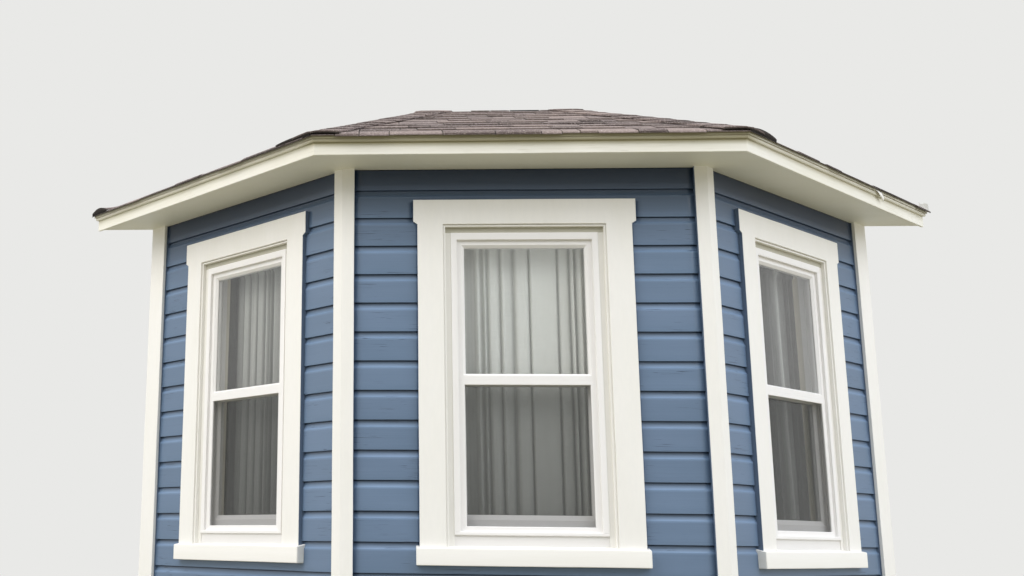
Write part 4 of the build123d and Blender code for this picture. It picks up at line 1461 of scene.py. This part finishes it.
    def hips(self) -> None:
        """Makes the folded caps over both hips.

        A cap spans from q to q + 1.25 exposures up the hip. Across it, w runs from -1 to 1 along
        the courses of the two planes, and it is lifted by its own thickness at the butt.
        """
        maker = MeshMaker("hip_cap_shingles")
        run = self.edge + EAVES.projection
        rng = np.random.default_rng(330)
        w = np.array([-1.0, -0.96, -0.55, -0.16, 0.0, 0.16, 0.55, 0.96, 1.0])
        c, s = math.cos(EAVES.cant), math.sin(EAVES.cant)
        rows = np.array([0.0, 0.0, 0.5, 1.25]) * self.cap_exposure
        lifts = self.thick + np.array([-0.002, 0.0065, 0.0045, 0.0008])
        for corner, sign in ((1, -1.0), (2, 1.0)):
            front, side = np.array([-sign, 0.0]), np.array([sign * c, s])
            for k in range(int(np.ceil(run / self.cap_exposure))):
                q = np.clip(k * self.cap_exposure + rows, 0.004, run - 0.004)
                hip = EAVES.corners[corner] + EAVES.steps[corner] * (self.edge - q)[:, None]
                half = self.cap_half * rng.uniform(0.93, 1.03)
                shift = np.where(w[:, None] > 0, w[:, None] * side, -w[:, None] * front) * half
                xy = hip[:, None] + shift[None]
                xy[..., 1] = np.minimum(xy[..., 1], EAVES.house_wall_y - 0.004)
                lift = lifts[:, None] - 0.0035 * (np.abs(w) < 0.01) - 0.002 * (np.abs(w) > 0.95)
                lift = lift - 0.005 * (np.abs(w) > 0.99)
                lift = lift + 0.001 * rng.uniform(-1, 1)
                grid = np.concatenate([xy, (self.height(self.edge - q)[:, None] + lift)[..., None]], -1)
                # Painted shade under each cap's butt and under the cap above it.
                grime_and_shade = np.broadcast_to(np.array([0.9, 0.15, 0.0, 0.3])[:, None], grid.shape[:2])
                grid, grime_and_shade = (grid, grime_and_shade) if corner == 1 else (grid[:, ::-1], grime_and_shade[:, ::-1])
                maker.add_grid(grid, None, tone=rng.uniform(0, 1), grime_and_shade=grime_and_shade)
        piece = maker.build(self.finishes.shingle, ["hip_caps"], "asphalt_shingle", closed=False, sharp=35)
        thicken(piece, 0.003)

    def curled_tab(self, maker: MeshMaker, side: Side, span: Sequence[float], up: float, rise: float,
                   sharpness: float) -> None:
        """Adds a tab at the eave that has curled up off the course below.

        With s from 0 to 1 along the eave and t from 0 to 1 up the slope, its height over the
        shingles is 1 mm + rise sin(pi s)^sharpness (1 - t)^1.6. Its butt is folded down to the
        shingles beneath.

        Args:
            maker: Collects the tab.
            side: The plane that it lies on.
            span: Its ends along the eave.
            up: How far it reaches up the slope.
            rise: How high the middle of its butt has curled.
            sharpness: Below 1 for a broad arch.
        """
        t, s = np.meshgrid(np.linspace(0, 1, 9), np.linspace(0, 1, 25), indexing="ij")
        q = 0.002 + up * t
        arch = np.sin(np.pi * np.clip(s, 0.001, 0.999)) ** sharpness * (1 - t) ** 1.6
        x = span[0] + (span[1] - span[0]) * s
        low, high = EAVES.ends(side, self.edge - q)
        x = np.clip(x, low + self.tab_inset, high - self.tab_inset)
        z = self.height(self.edge - q) + self.thick + 0.001 + rise * arch
        grid = np.stack([x, q - self.edge, z], -1)
        down = -0.010 - rise * arch[:1]
        fold = grid[:1] + np.stack([np.zeros_like(down), np.full_like(down, 0.002), down], -1)
        # Painted shade on the fold and under the curled butt.
        grime_and_shade = np.concatenate([[1.0], np.clip(0.85 - 4.0 * t[:, 0], 0, 1)])[:, None]
        maker.add_grid(np.concatenate([fold, grid]), EAVES.placement(side), tone=0.3, grime_and_shade=grime_and_shade)

    def curls(self) -> None:
        """Makes the curled tabs by both front corners and at the left end of the eave."""
        maker = MeshMaker("curled_eave_tabs")
        for side, end, near, far, up, rise, sharpness in self.curled:
            corner = EAVES.ends(side, self.edge)[end]
            self.curled_tab(maker, side, (corner + near, corner + far), up, rise, sharpness)
        piece = maker.build(self.finishes.shingle, [], "asphalt_shingle", closed=False, sharp=35)
        thicken(piece, 0.004)

    def leaf(self) -> None:
        """Makes the leaf of flashing turned up at the right end, where the roof meets the house.

        With s from 0 to 1 up the leaf and t across it, it leans in as leaf_lean s^1.4 and narrows
        to two thirds of its width.
        """
        s, t = np.meshgrid(np.linspace(0, 1, 12), np.linspace(0, 1, 9), indexing="ij")
        right = float(EAVES.ends(Side.RIGHT, self.edge)[1])
        width = self.leaf_width * (1 - 0.35 * s)
        y = -self.edge + 0.006 + 0.006 * np.sin(np.pi * t) - 0.004 * s + 0.02 * t
        x = right - 0.008 - (y + self.edge) / math.tan(EAVES.cant) - width * t - self.leaf_lean * s ** 1.4
        z = self.height(self.edge) - 0.004 + self.leaf_height * s + 0.004 * np.sin(2.4 * np.pi * t) * s
        grid = np.stack([x, y, z], -1)
        maker = MeshMaker("turned_up_flashing")
        maker.add_grid(grid, EAVES.placement(Side.RIGHT))
        thicken(maker.build(self.finishes.flashing, [], "asphalt_shingle", closed=False, sharp=50), 0.0012)

    def sliver(self) -> None:
        """Makes the sliver of moulding that hangs loose from the right eave.

        With s from 0 to 1 down the sliver and t across it, its middle runs from the moulding's
        top down and to the right, and it tapers to its tip, sliver_widths[0] wide.
        """
        s, t = np.meshgrid(np.linspace(0, 1, 9), np.linspace(-0.5, 0.5, 5), indexing="ij")
        left, front, top = self.sliver_top
        width = self.sliver_widths[1] * (1 - s) ** 0.8 + self.sliver_widths[0]
        x = left + self.sliver_drift * s + width * t
        y = front - 0.006 * np.sin(np.pi * s)
        z = top - self.sliver_drop * s - 0.5 * width * t * s
        maker = MeshMaker("loose_moulding_sliver")
        maker.add_grid(np.stack([x, y, z], -1), EAVES.placement(Side.RIGHT))
        thicken(maker.build(self.finishes.trim, [], "trim_paint", closed=False, sharp=50), 0.002)

    def build(self) -> None:
        """Makes the whole roof covering and what hangs from its edge."""
        for side in Side:
            self.plane(side)
        self.hips()
        self.curls()
        self.leaf()
        self.sliver()


@dataclass
class DoubleHungWindows(SubAssembly):
    """Casings, sills, frames, sashes and screens of the three windows."""

    groove: float = 0.002
    groove_floor: float = -0.0092
    lip: float = 0.008
    lip_face: float = -0.011
    stop_front: float = 0.007
    frame_front: float = 0.003
    frame_back: float = 0.108
    nose: tuple[float, float] = (0.123, 0.139)
    below_nose: float = 0.011
    outer_track: float = 0.017
    inner_track: float = 0.053
    screen_seat: float = 0.131
    sash_seat: float = 0.142
    sash_thickness: float = 0.030
    stile: float = 0.038
    upper: tuple[float, float, float, float] = (0.775, 1.397, 0.027, 0.040)
    lower: tuple[float, float, float, float] = (0.142, 0.802, 0.067, 0.050)
    glass_depth: float = 0.013
    glass_thickness: float = 0.004
    glass_groove: float = 0.008
    screen_top: float = 0.7752
    screen_members: tuple[float, float, float, float] = (0.033, 0.030, 0.033, 0.022)
    screen_depth: float = 0.010
    mesh_depth: float = 0.022
    lap: float = 0.001
    seam: float = 0.004

    def casing(self) -> None:
        """Makes casings with eared heads, the lip along their inner edge and the blind stops.

        The outer edges of the casings are cut in with the paint of the siding. Two dark strips
        are painted shade under the head, and the groove's floor and the stops carry a light painted shade.
        """
        maker, inside = MeshMaker("window_casing_boards"), MeshMaker("window_casing_lips_and_stops")
        for w in WINDOWS:
            foot, seed = w.sill_top(-self.standout) - 0.0006, 400 + 20 * w.side.value
            ear, edge = w.half_casing + w.head_ear, w.casing_edge
            outer = [(w.half_casing, foot), (w.half_casing, w.head_bottom),
                     (ear, w.head_bottom + w.ear_chamfer), (ear, w.casing_top)]
            inner = [(-edge, foot), (-edge, w.head_bottom), (edge, w.head_bottom), (edge, foot)]
            outline = outer + [(-x, z) for x, z in reversed(outer)] + inner
            plate(maker, w.place, outline, (-self.standout, -self.sheathing), 0.0022, 0.0005, seed,
                  cut_in=(1.0,) * 8 + (0.0,) * 4)
            floor = band_outline(edge + self.lap, w.head_bottom + self.lap, 0.006,
                                 w.sill_top(self.groove_floor) - self.lap)
            # The groove's floor carries a light painted shade.
            plate(inside, w.place, floor, (self.groove_floor, -self.sheathing), 0.0003, 0.0, seed + 5, 0.1)
            lip = band_outline(edge - self.groove, w.head_bottom - self.groove, self.lip,
                               w.sill_top(self.lip_face) - self.lap)
            plate(inside, w.place, lip, (self.lip_face, -self.sheathing), 0.0016, 0.0002, seed + 7)
            stop = band_outline(edge - self.groove - self.seam, w.head_bottom - self.groove - self.seam,
                                w.stop - self.groove - self.seam, w.sill_top(self.stop_front) - self.lap)
            # The stops carry a light painted shade.
            plate(inside, w.place, stop, (self.stop_front, -self.sheathing), 0.0010, 0.0002, seed + 11, 0.12)
            # Two strips of painted shade under the head: on the groove's floor and on the stop.
            for top, foot, face in ((self.lap, -self.groove - self.lap, self.groove_floor),
                                    (-self.groove - self.lip + self.lap, -w.stop, self.stop_front)):
                low, high, half = w.head_bottom + foot, w.head_bottom + top, edge + min(top, 0.0005)
                shaded = [(half, low), (half, high), (-half, high), (-half, low)]
                plate(inside, w.place, shaded, (face - 0.0006, -self.sheathing), 0.0002, 0.0, seed + 13, 0.85)
        maker.build(self.finishes.cut_in, [], "trim_paint")
        inside.build(self.finishes.trim, ["window_casings"], "trim_paint")

    def sill(self) -> None:
        """Makes the sills: a deep square nose, a top that slopes outwards, and a tail in the wall."""
        maker = MeshMaker("window_sill_boards")
        for w in WINDOWS:
            nose, back, tail = -w.sill_standout, -self.sheathing, self.frame_back
            front = fillet_profile([(nose, 0.0), (back, 0.0), (back, w.sill_top(back)),
                                    (nose, w.sill_height)], (0.003, 0, 0, 0.004))
            rear = np.array([(back, 0.04), (tail, 0.04), (tail, w.sill_top(tail)), (back, w.sill_top(back))])
            seed = 500 + 10 * w.side.value
            bar_across(maker, w.place, front, w.half_casing + w.sill_ear, 0.0025, seed)
            bar_across(maker, w.place, rear, w.opening, 0.0001, seed + 3)
        maker.build(self.finishes.trim, ["window_sills"], "trim_paint")

    def frame(self) -> None:
        """Makes the frames: jambs and head with two tracks, and a base with a nose."""
        maker = MeshMaker("window_frame_members")
        front, back, low, high = self.frame_front, self.frame_back, *self.nose
        outer, inner, nose = self.outer_track, self.inner_track, self.below_nose
        outer_back, inner_back = (track + self.sash_thickness for track in (outer, inner))
        for w in WINDOWS:
            face, deep, stretch = w.frame_face, w.frame_face - w.track, w.frame_head / w.frame_face
            jamb = [(0, back), (0, front), (face, front), (face, outer), (deep, outer), (deep, outer_back),
                    (face, outer_back), (face, inner), (deep, inner), (deep, inner_back), (face, inner_back),
                    (face, back)]
            a, y = fillet_profile(jamb, (0, 0.0015, 0.0025, 0, 0, 0, 0.001, 0.001, 0, 0, 0.001, 0)).T
            x = np.stack([-w.opening + a, -w.opening + a, w.opening - a, w.opening - a], 1)
            foot, head = np.full_like(a, high - 0.0005), w.opening_top - a * stretch
            z = np.stack([foot, head, head, foot], 1)
            grid = np.stack([x, np.broadcast_to(y[:, None], x.shape), z], -1)
            maker.add_grid(grid, w.place, wrap_rows=True, cap_ends=True)
            base = [(front, low), (nose, low), (nose, w.sill_top(nose)), (back, w.sill_top(back)),
                    (back, self.sash_seat), (outer_back, self.sash_seat), (outer_back, self.screen_seat),
                    (outer, self.screen_seat), (outer, high), (front, high)]
            base = fillet_profile(base, (0.005, 0, 0, 0, 0, 0.001, 0, 0, 0, 0.003))
            # The underside of the base's nose carries a painted shade.
            bar_across(maker, w.place, base, w.opening - 0.0002, 0.0001, 540 + w.side.value,
                       grime_and_shade=np.where(base[:, 1] < low + 0.001, 0.35, 0.0))
        maker.build(self.finishes.frame, ["window_frames"], "frame_paint")

    def sashes(self) -> None:
        """Makes the sashes: flat members with a slanted bead to the glass, and a groove for it."""
        levels = (("upper", self.upper, self.outer_track), ("lower", self.lower, self.inner_track))
        for label, (bottom, top, low_rail, high_rail), front in levels:
            back, glass, groove = front + self.sash_thickness, front + self.glass_depth, self.glass_groove
            behind = glass + self.glass_thickness
            section = np.array([(0, 0, back), (0, 0.0002, front), (0, 0.0006, front), (0.70, 0, front),
                                (0.72, 0, front + 0.0012), (0.97, 0, front + 0.009), (1, 0, front + 0.0100),
                                (1, 0, glass), (1, -groove, glass), (1, -groove, behind), (1, 0, behind),
                                (1, 0, back)])
            maker, members = MeshMaker(f"{label}_sash_members"), (self.stile, low_rail, self.stile, high_rail)
            for w in WINDOWS:
                ring = mitred_ring((-w.sash, w.sash), (bottom, top), section, members)
                maker.add_grid(ring, w.place, wrap_rows=True, wrap_columns=True)
            maker.build(self.finishes.frame, [f"{label}_sashes"], "frame_paint")

    def screens(self) -> None:
        """Makes the half screens: a slim frame, and the mesh as a sheet that sags by half a millimetre."""
        maker, veil = MeshMaker("screen_frames"), MeshMaker("screen_mesh")
        front, back = self.outer_track, self.outer_track + self.screen_depth
        section = np.array([(0, 0, back), (0, 0.0002, front), (0.9, 0, front), (0.97, 0, front + 0.0015),
                            (1, 0, front + 0.004), (1, 0, back)])
        stile, low, _, high = self.screen_members
        tuck = 0.003
        for w in WINDOWS:
            ring = mitred_ring((-w.sash, w.sash), (self.screen_seat, self.screen_top), section,
                               self.screen_members)
            maker.add_grid(ring, w.place, wrap_rows=True, wrap_columns=True)
            x = np.linspace(stile - w.sash - tuck, w.sash - stile + tuck, 12)
            z = np.linspace(self.screen_seat + low - tuck, self.screen_top - high + tuck, 16)
            sheet = np.empty((len(z), len(x), 3))
            sheet[..., 0] = x
            sheet[..., 1] = self.mesh_depth + 0.0006 * np.outer(smooth_noise(z, 610), smooth_noise(x, 611))
            sheet[..., 2] = z[:, None]
            veil.add_grid(sheet, w.place)
        maker.build(self.finishes.frame, ["insect_screens"], "insect_screen")
        veil.build(self.finishes.mesh, ["insect_screens"], "insect_screen", closed=False)

    def build(self) -> None:
        """Makes every part of the three windows but the curtains."""
        self.casing()
        self.sill()
        self.frame()
        self.sashes()
        self.screens()
        for node, finish in (("upper_panes", self.finishes.glass), ("lower_panes", self.finishes.glass),
                             ("inner_trims", self.finishes.solid_trim), ("curtain_rods", self.finishes.rod)):
            dress_node(node, finish)


@dataclass
class SheerCurtain(SubAssembly):
    """A curtain in folds on a rod, hanging in the reveal behind the sashes.

    For the left, the front and the right window, street_shading is the painted light and shade
    of a single layer seen from the street, and lit_stretch says where a stretch of painted light
    begins and ends, as shares of the width, and how much whiter it is.
    """

    rod_depth: float = 0.140
    rod_height: float = 1.392
    rod_clear: float = 0.0085
    heading: float = 0.0145
    hem: float = 0.1285
    swing: float = 0.0135
    folds: float = 9.0
    street_shading: tuple[float, float, float] = (0.12, 1.2, 0.07)
    lit_stretch: tuple[tuple[float, float, float], ...] = ((0.12, 1.2, 0.45), (0.0, 0.0, 0.0), (0.62, 0.80, 0.6))
    blend: float = 0.06
    shade_at_hem: float = 0.58
    grip_height: float = 0.016
    stations: int = 420

    def build(self, window: WindowSizes) -> None:
        """Makes one curtain and logs its flat size.

        With s the share of the width and h the share of the drop from the rod, depth is
        y = rod + swing (0.50 + 0.34 h) (sin p + 0.28 sin 2.1 p), where the phase p gains nine
        turns over the width and drifts slowly on the way down, so folds merge and split. At the
        rod the folds flatten and pass in front of it. The cloth is darker towards the hem, which
        the half screen and the dim room shade.

        Args:
            window: Sizes of the window that it hangs behind.
        """
        half = window.opening - window.curtain_clearance
        s = np.linspace(0, 1, self.stations)
        z = np.concatenate([np.linspace(self.hem, self.hem + 0.03, 4),
                            np.linspace(self.hem + 0.05, self.rod_height - 0.05, 44),
                            np.linspace(self.rod_height - 0.035, self.rod_height + self.heading, 9)])
        seed = 700 + 11 * window.side.value
        drop = np.clip((self.rod_height - z) / (self.rod_height - self.hem), 0, 1)[:, None]
        turns = 2 * np.pi * (self.folds * s + 1.1 * smooth_noise(s, seed, 0.6))
        drift = 1.5 * smooth_noise(s, seed + 1, 0.8) * drop ** 1.2
        depth = np.sin(turns + drift) + 0.28 * np.sin(2.1 * turns + 1.7 * drift + seed)
        grip = np.exp(-((z[:, None] - self.rod_height) / self.grip_height) ** 2)
        size = self.swing * (0.50 + 0.34 * drop + 0.10 * smooth_noise(s, seed + 2, 0.5)) * (1 - 0.8 * grip)
        grid = np.empty((len(z), len(s), 3))
        stray = 0.003 * smooth_noise(s, seed + 3, 0.3) * drop
        grid[..., 0] = np.clip((2 * s - 1) * half + stray, -half, half)
        grid[..., 1] = self.rod_depth - self.rod_clear * grip + size * depth
        grid[..., 2] = z[:, None]
        across, down = grid[1:, 1:] - grid[:-1, :-1], grid[1:, :-1] - grid[:-1, 1:]
        area = float(np.linalg.norm(np.cross(across, down), axis=-1).sum() / 2)
        length = float(running_length(grid, 0)[-1].mean())
        uv = np.stack([running_length(grid, 1), np.broadcast_to(z[:, None], grid.shape[:2])], -1)
        # Painted light and shade on the street side: the window's level, its lit stretch, and a painted shade
        # towards the hem.
        start, stop, white = self.lit_stretch[window.side.value]
        within = np.clip(np.minimum(s - start, stop - s) / self.blend, 0, 1)
        tone = (self.street_shading[window.side.value] + white * within) * (1 - self.shade_at_hem * drop)
        maker = MeshMaker(f"voile_curtain_{window.side.label}")
        # The back of each fold carries a painted shade.
        maker.add_grid(grid, window.place, uv, tone=tone, grime_and_shade=np.clip(0.45 + 0.5 * depth, 0, 1) ** 1.5)
        piece = maker.build(self.finishes.cloth, [f"curtain_{window.side.label}"], "sheer_curtain",
                            closed=False, sharp=80)
        LOG.info("curtain %s flat %.3f x %.3f m", window.side.label, area / length, length)


class Shell(SubAssembly):
    """Pieces whose solids have their shape: foundation, walls, floor, ceiling, soffit, roof frames."""

    def build(self) -> None:
        """Dresses them."""
        for side in Side:
            dress_node(f"foundation_{side.label}", self.finishes.concrete)
            dress_node(f"wall_{side.label}", self.finishes.plaster)
            dress_node(f"roof_deck_{side.label}", self.finishes.sheathing)
        for node, finish in (("floor_joists", self.finishes.lumber), ("roof_frames", self.finishes.lumber),
                             ("floor_boards", self.finishes.floor), ("ceiling", self.finishes.plaster),
                             ("soffit_boards", self.finishes.solid_trim)):
            dress_node(node, finish)


@dataclass
class Studio:
    """Pale floor, soft daylight and the camera.

    A lamp is given by its name, place, size in metres, power in watts and colour.
    """

    background: str = "#e9e9e7"
    paper: str = "#b6b4af"
    bounce: str = "#7f7960"
    sky: str = "#f1f5fb"
    zenith: float = 1.85
    horizon: float = 0.27
    ground: float = 0.15
    focal_px: float = 1211.94
    centre_px: tuple[float, float] = (316.0, 269.55)
    frame_px: tuple[int, int] = (1024, 576)
    position: tuple[float, float, float] = (-0.56614, -5.57032, 1.59201)
    yaw: float = math.radians(3.791)
    pitch: float = math.radians(12.641)
    roll: float = math.radians(0.667)
    lit_point: tuple[float, float, float] = (0.0, -0.2, 2.3)
    lamps: tuple[tuple[str, tuple[float, float, float], float, float, str], ...] = (
        ("key_softbox", (-5.6, -4.2, 7.8), 5.0, 312.0, "#fffaf4"),
        ("fill_softbox", (6.0, -4.6, 6.8), 5.0, 230.0, "#f6f8ff"),
        ("left_softbox", (-7.0, -2.4, 3.0), 4.0, 64.0, "#fbfbff"),
        ("right_softbox", (7.0, -2.4, 3.0), 4.0, 64.0, "#fbfbff"))

    def floor(self) -> None:
        """Makes the pale floor. What it sends up is as dim and warm as from a garden."""
        mesh = bpy.data.meshes.new("studio_floor")
        reach = 40.0
        mesh.from_pydata([(-reach, -reach, 0), (reach, -reach, 0), (reach, reach, 0), (-reach, reach, 0)], [],
                         [(0, 1, 2, 3)])
        floor = bpy.data.objects.new("studio_floor", mesh)
        bpy.context.scene.collection.objects.link(floor)
        material, tree = new_material("studio_floor_paper")
        path = add_node(tree, "LightPath").outputs["Is Diffuse Ray"]
        colour = add_node(tree, "Mix", {0: path, 6: linear(self.paper), 7: linear(self.bounce)},
                          data_type="RGBA")
        shader = add_node(tree, "BsdfPrincipled", {"Base Color": colour, "Roughness": 0.9})
        add_node(tree, "OutputMaterial", {"Surface": shader})
        mesh.materials.append(material)

    def world(self) -> None:
        """Makes soft daylight: a sky that is dim at the horizon and bright overhead."""
        world = bpy.data.worlds.new("soft_daylight")
        bpy.context.scene.world = world
        world.use_nodes = True
        tree = world.node_tree
        tree.nodes.clear()
        source = add_node(tree, "TexCoord").outputs["Generated"]
        height = add_node(tree, "SeparateXYZ", {"Vector": source}).outputs["Z"]
        up = add_node(tree, "MapRange", {0: height, 1: 0.05, 2: 0.75, 3: self.horizon, 4: self.zenith})
        down = add_node(tree, "MapRange", {0: height, 1: -0.12, 2: 0.0, 3: self.ground, 4: 1.0})
        level = add_node(tree, "Math", {0: up, 1: down}, operation="MULTIPLY")
        light = add_node(tree, "Background", {"Color": linear(self.sky), "Strength": level})
        seen = add_node(tree, "Background", {"Color": linear(self.background), "Strength": 1.0})
        path = add_node(tree, "LightPath")
        clear = path.outputs["Is Camera Ray"]
        for ray in ("Is Transmission Ray", "Is Glossy Ray"):
            clear = add_node(tree, "Math", {0: clear, 1: path.outputs[ray]}, operation="MAXIMUM")
        mixed = add_node(tree, "MixShader", {0: clear, 1: light, 2: seen})
        add_node(tree, "OutputWorld", {"Surface": mixed})

    def lamp(self, name: str, place: Sequence[float], target: Sequence[float], size: float, watts: float,
             colour: str) -> None:
        """Adds a soft square lamp that looks at a point.

        Args:
            name: Name of the lamp.
            place: Where it hangs.
            target: Point that it looks at.
            size: Side of its square, in metres.
            watts: Its power.
            colour: Its colour as sRGB hex.
        """
        data = bpy.data.lights.new(name, "AREA")
        data.shape = "SQUARE"
        data.size = size
        data.energy = watts
        data.color = linear(colour)[:3]
        away = np.array(place, float) - np.array(target, float)
        away = away / np.linalg.norm(away)
        right = np.cross((0, 0, 1), away)
        right = right / np.linalg.norm(right)
        self.put(bpy.data.objects.new(name, data), right, np.cross(away, right), away, place)

    def put(self, thing: bpy.types.Object, right: np.ndarray, up: np.ndarray, back: np.ndarray,
            place: Sequence[float]) -> None:
        """Links a lamp or camera with its axes and its place.

        Args:
            thing: The lamp or the camera.
            right: Its x axis.
            up: Its y axis.
            back: Its z axis, away from what it looks at.
            place: Where it stands.
        """
        axes = np.eye(4)
        axes[:3, 0], axes[:3, 1], axes[:3, 2], axes[:3, 3] = right, up, back, place
        thing.matrix_world = Matrix(axes.tolist())
        bpy.context.scene.collection.objects.link(thing)

    def camera(self) -> None:
        """Sets the camera at the photograph's place, turn and framing."""
        flat, rise = math.cos(self.pitch), math.sin(self.pitch)
        forward = np.array([-math.sin(self.yaw) * flat, math.cos(self.yaw) * flat, rise])
        level = np.array([math.cos(self.yaw), math.sin(self.yaw), 0.0])
        above = np.cross(level, forward)
        right = math.cos(self.roll) * level + math.sin(self.roll) * above
        up = -math.sin(self.roll) * level + math.cos(self.roll) * above
        data = bpy.data.cameras.new("photo_camera")
        width, height = self.frame_px
        data.sensor_fit = "HORIZONTAL"
        data.sensor_width = 36.0
        data.lens = self.focal_px * data.sensor_width / width
        data.shift_x = (width / 2 - self.centre_px[0]) / width
        data.shift_y = (self.centre_px[1] - height / 2) / width
        data.clip_end = 200.0
        camera = bpy.data.objects.new("photo_camera", data)
        self.put(camera, right, up, -forward, self.position)
        bpy.context.scene.camera = camera

    def build(self) -> None:
        """Makes floor, light and camera."""
        self.floor()
        self.world()
        for name, place, size, watts, colour in self.lamps:
            self.lamp(name, place, self.lit_point, size, watts, colour)
        self.camera()
        bpy.context.scene.view_settings.view_transform = "Standard"
        LOG.info("studio")


def main() -> None:
    """Builds the bay in order."""
    logging.basicConfig(level=logging.INFO, format="%(message)s")
    finishes = Finishes()
    Shell(finishes).build()
    siding = CoveSiding(finishes)
    for window in WINDOWS:
        siding.build(window)
    for sub_assembly in (CornerTrim, RunningTrim, ShingleRoof, DoubleHungWindows):
        sub_assembly(finishes).build()
    curtain = SheerCurtain(finishes)
    for window in WINDOWS:
        curtain.build(window)
    Studio().build()


if __name__ == "__main__":
    main()
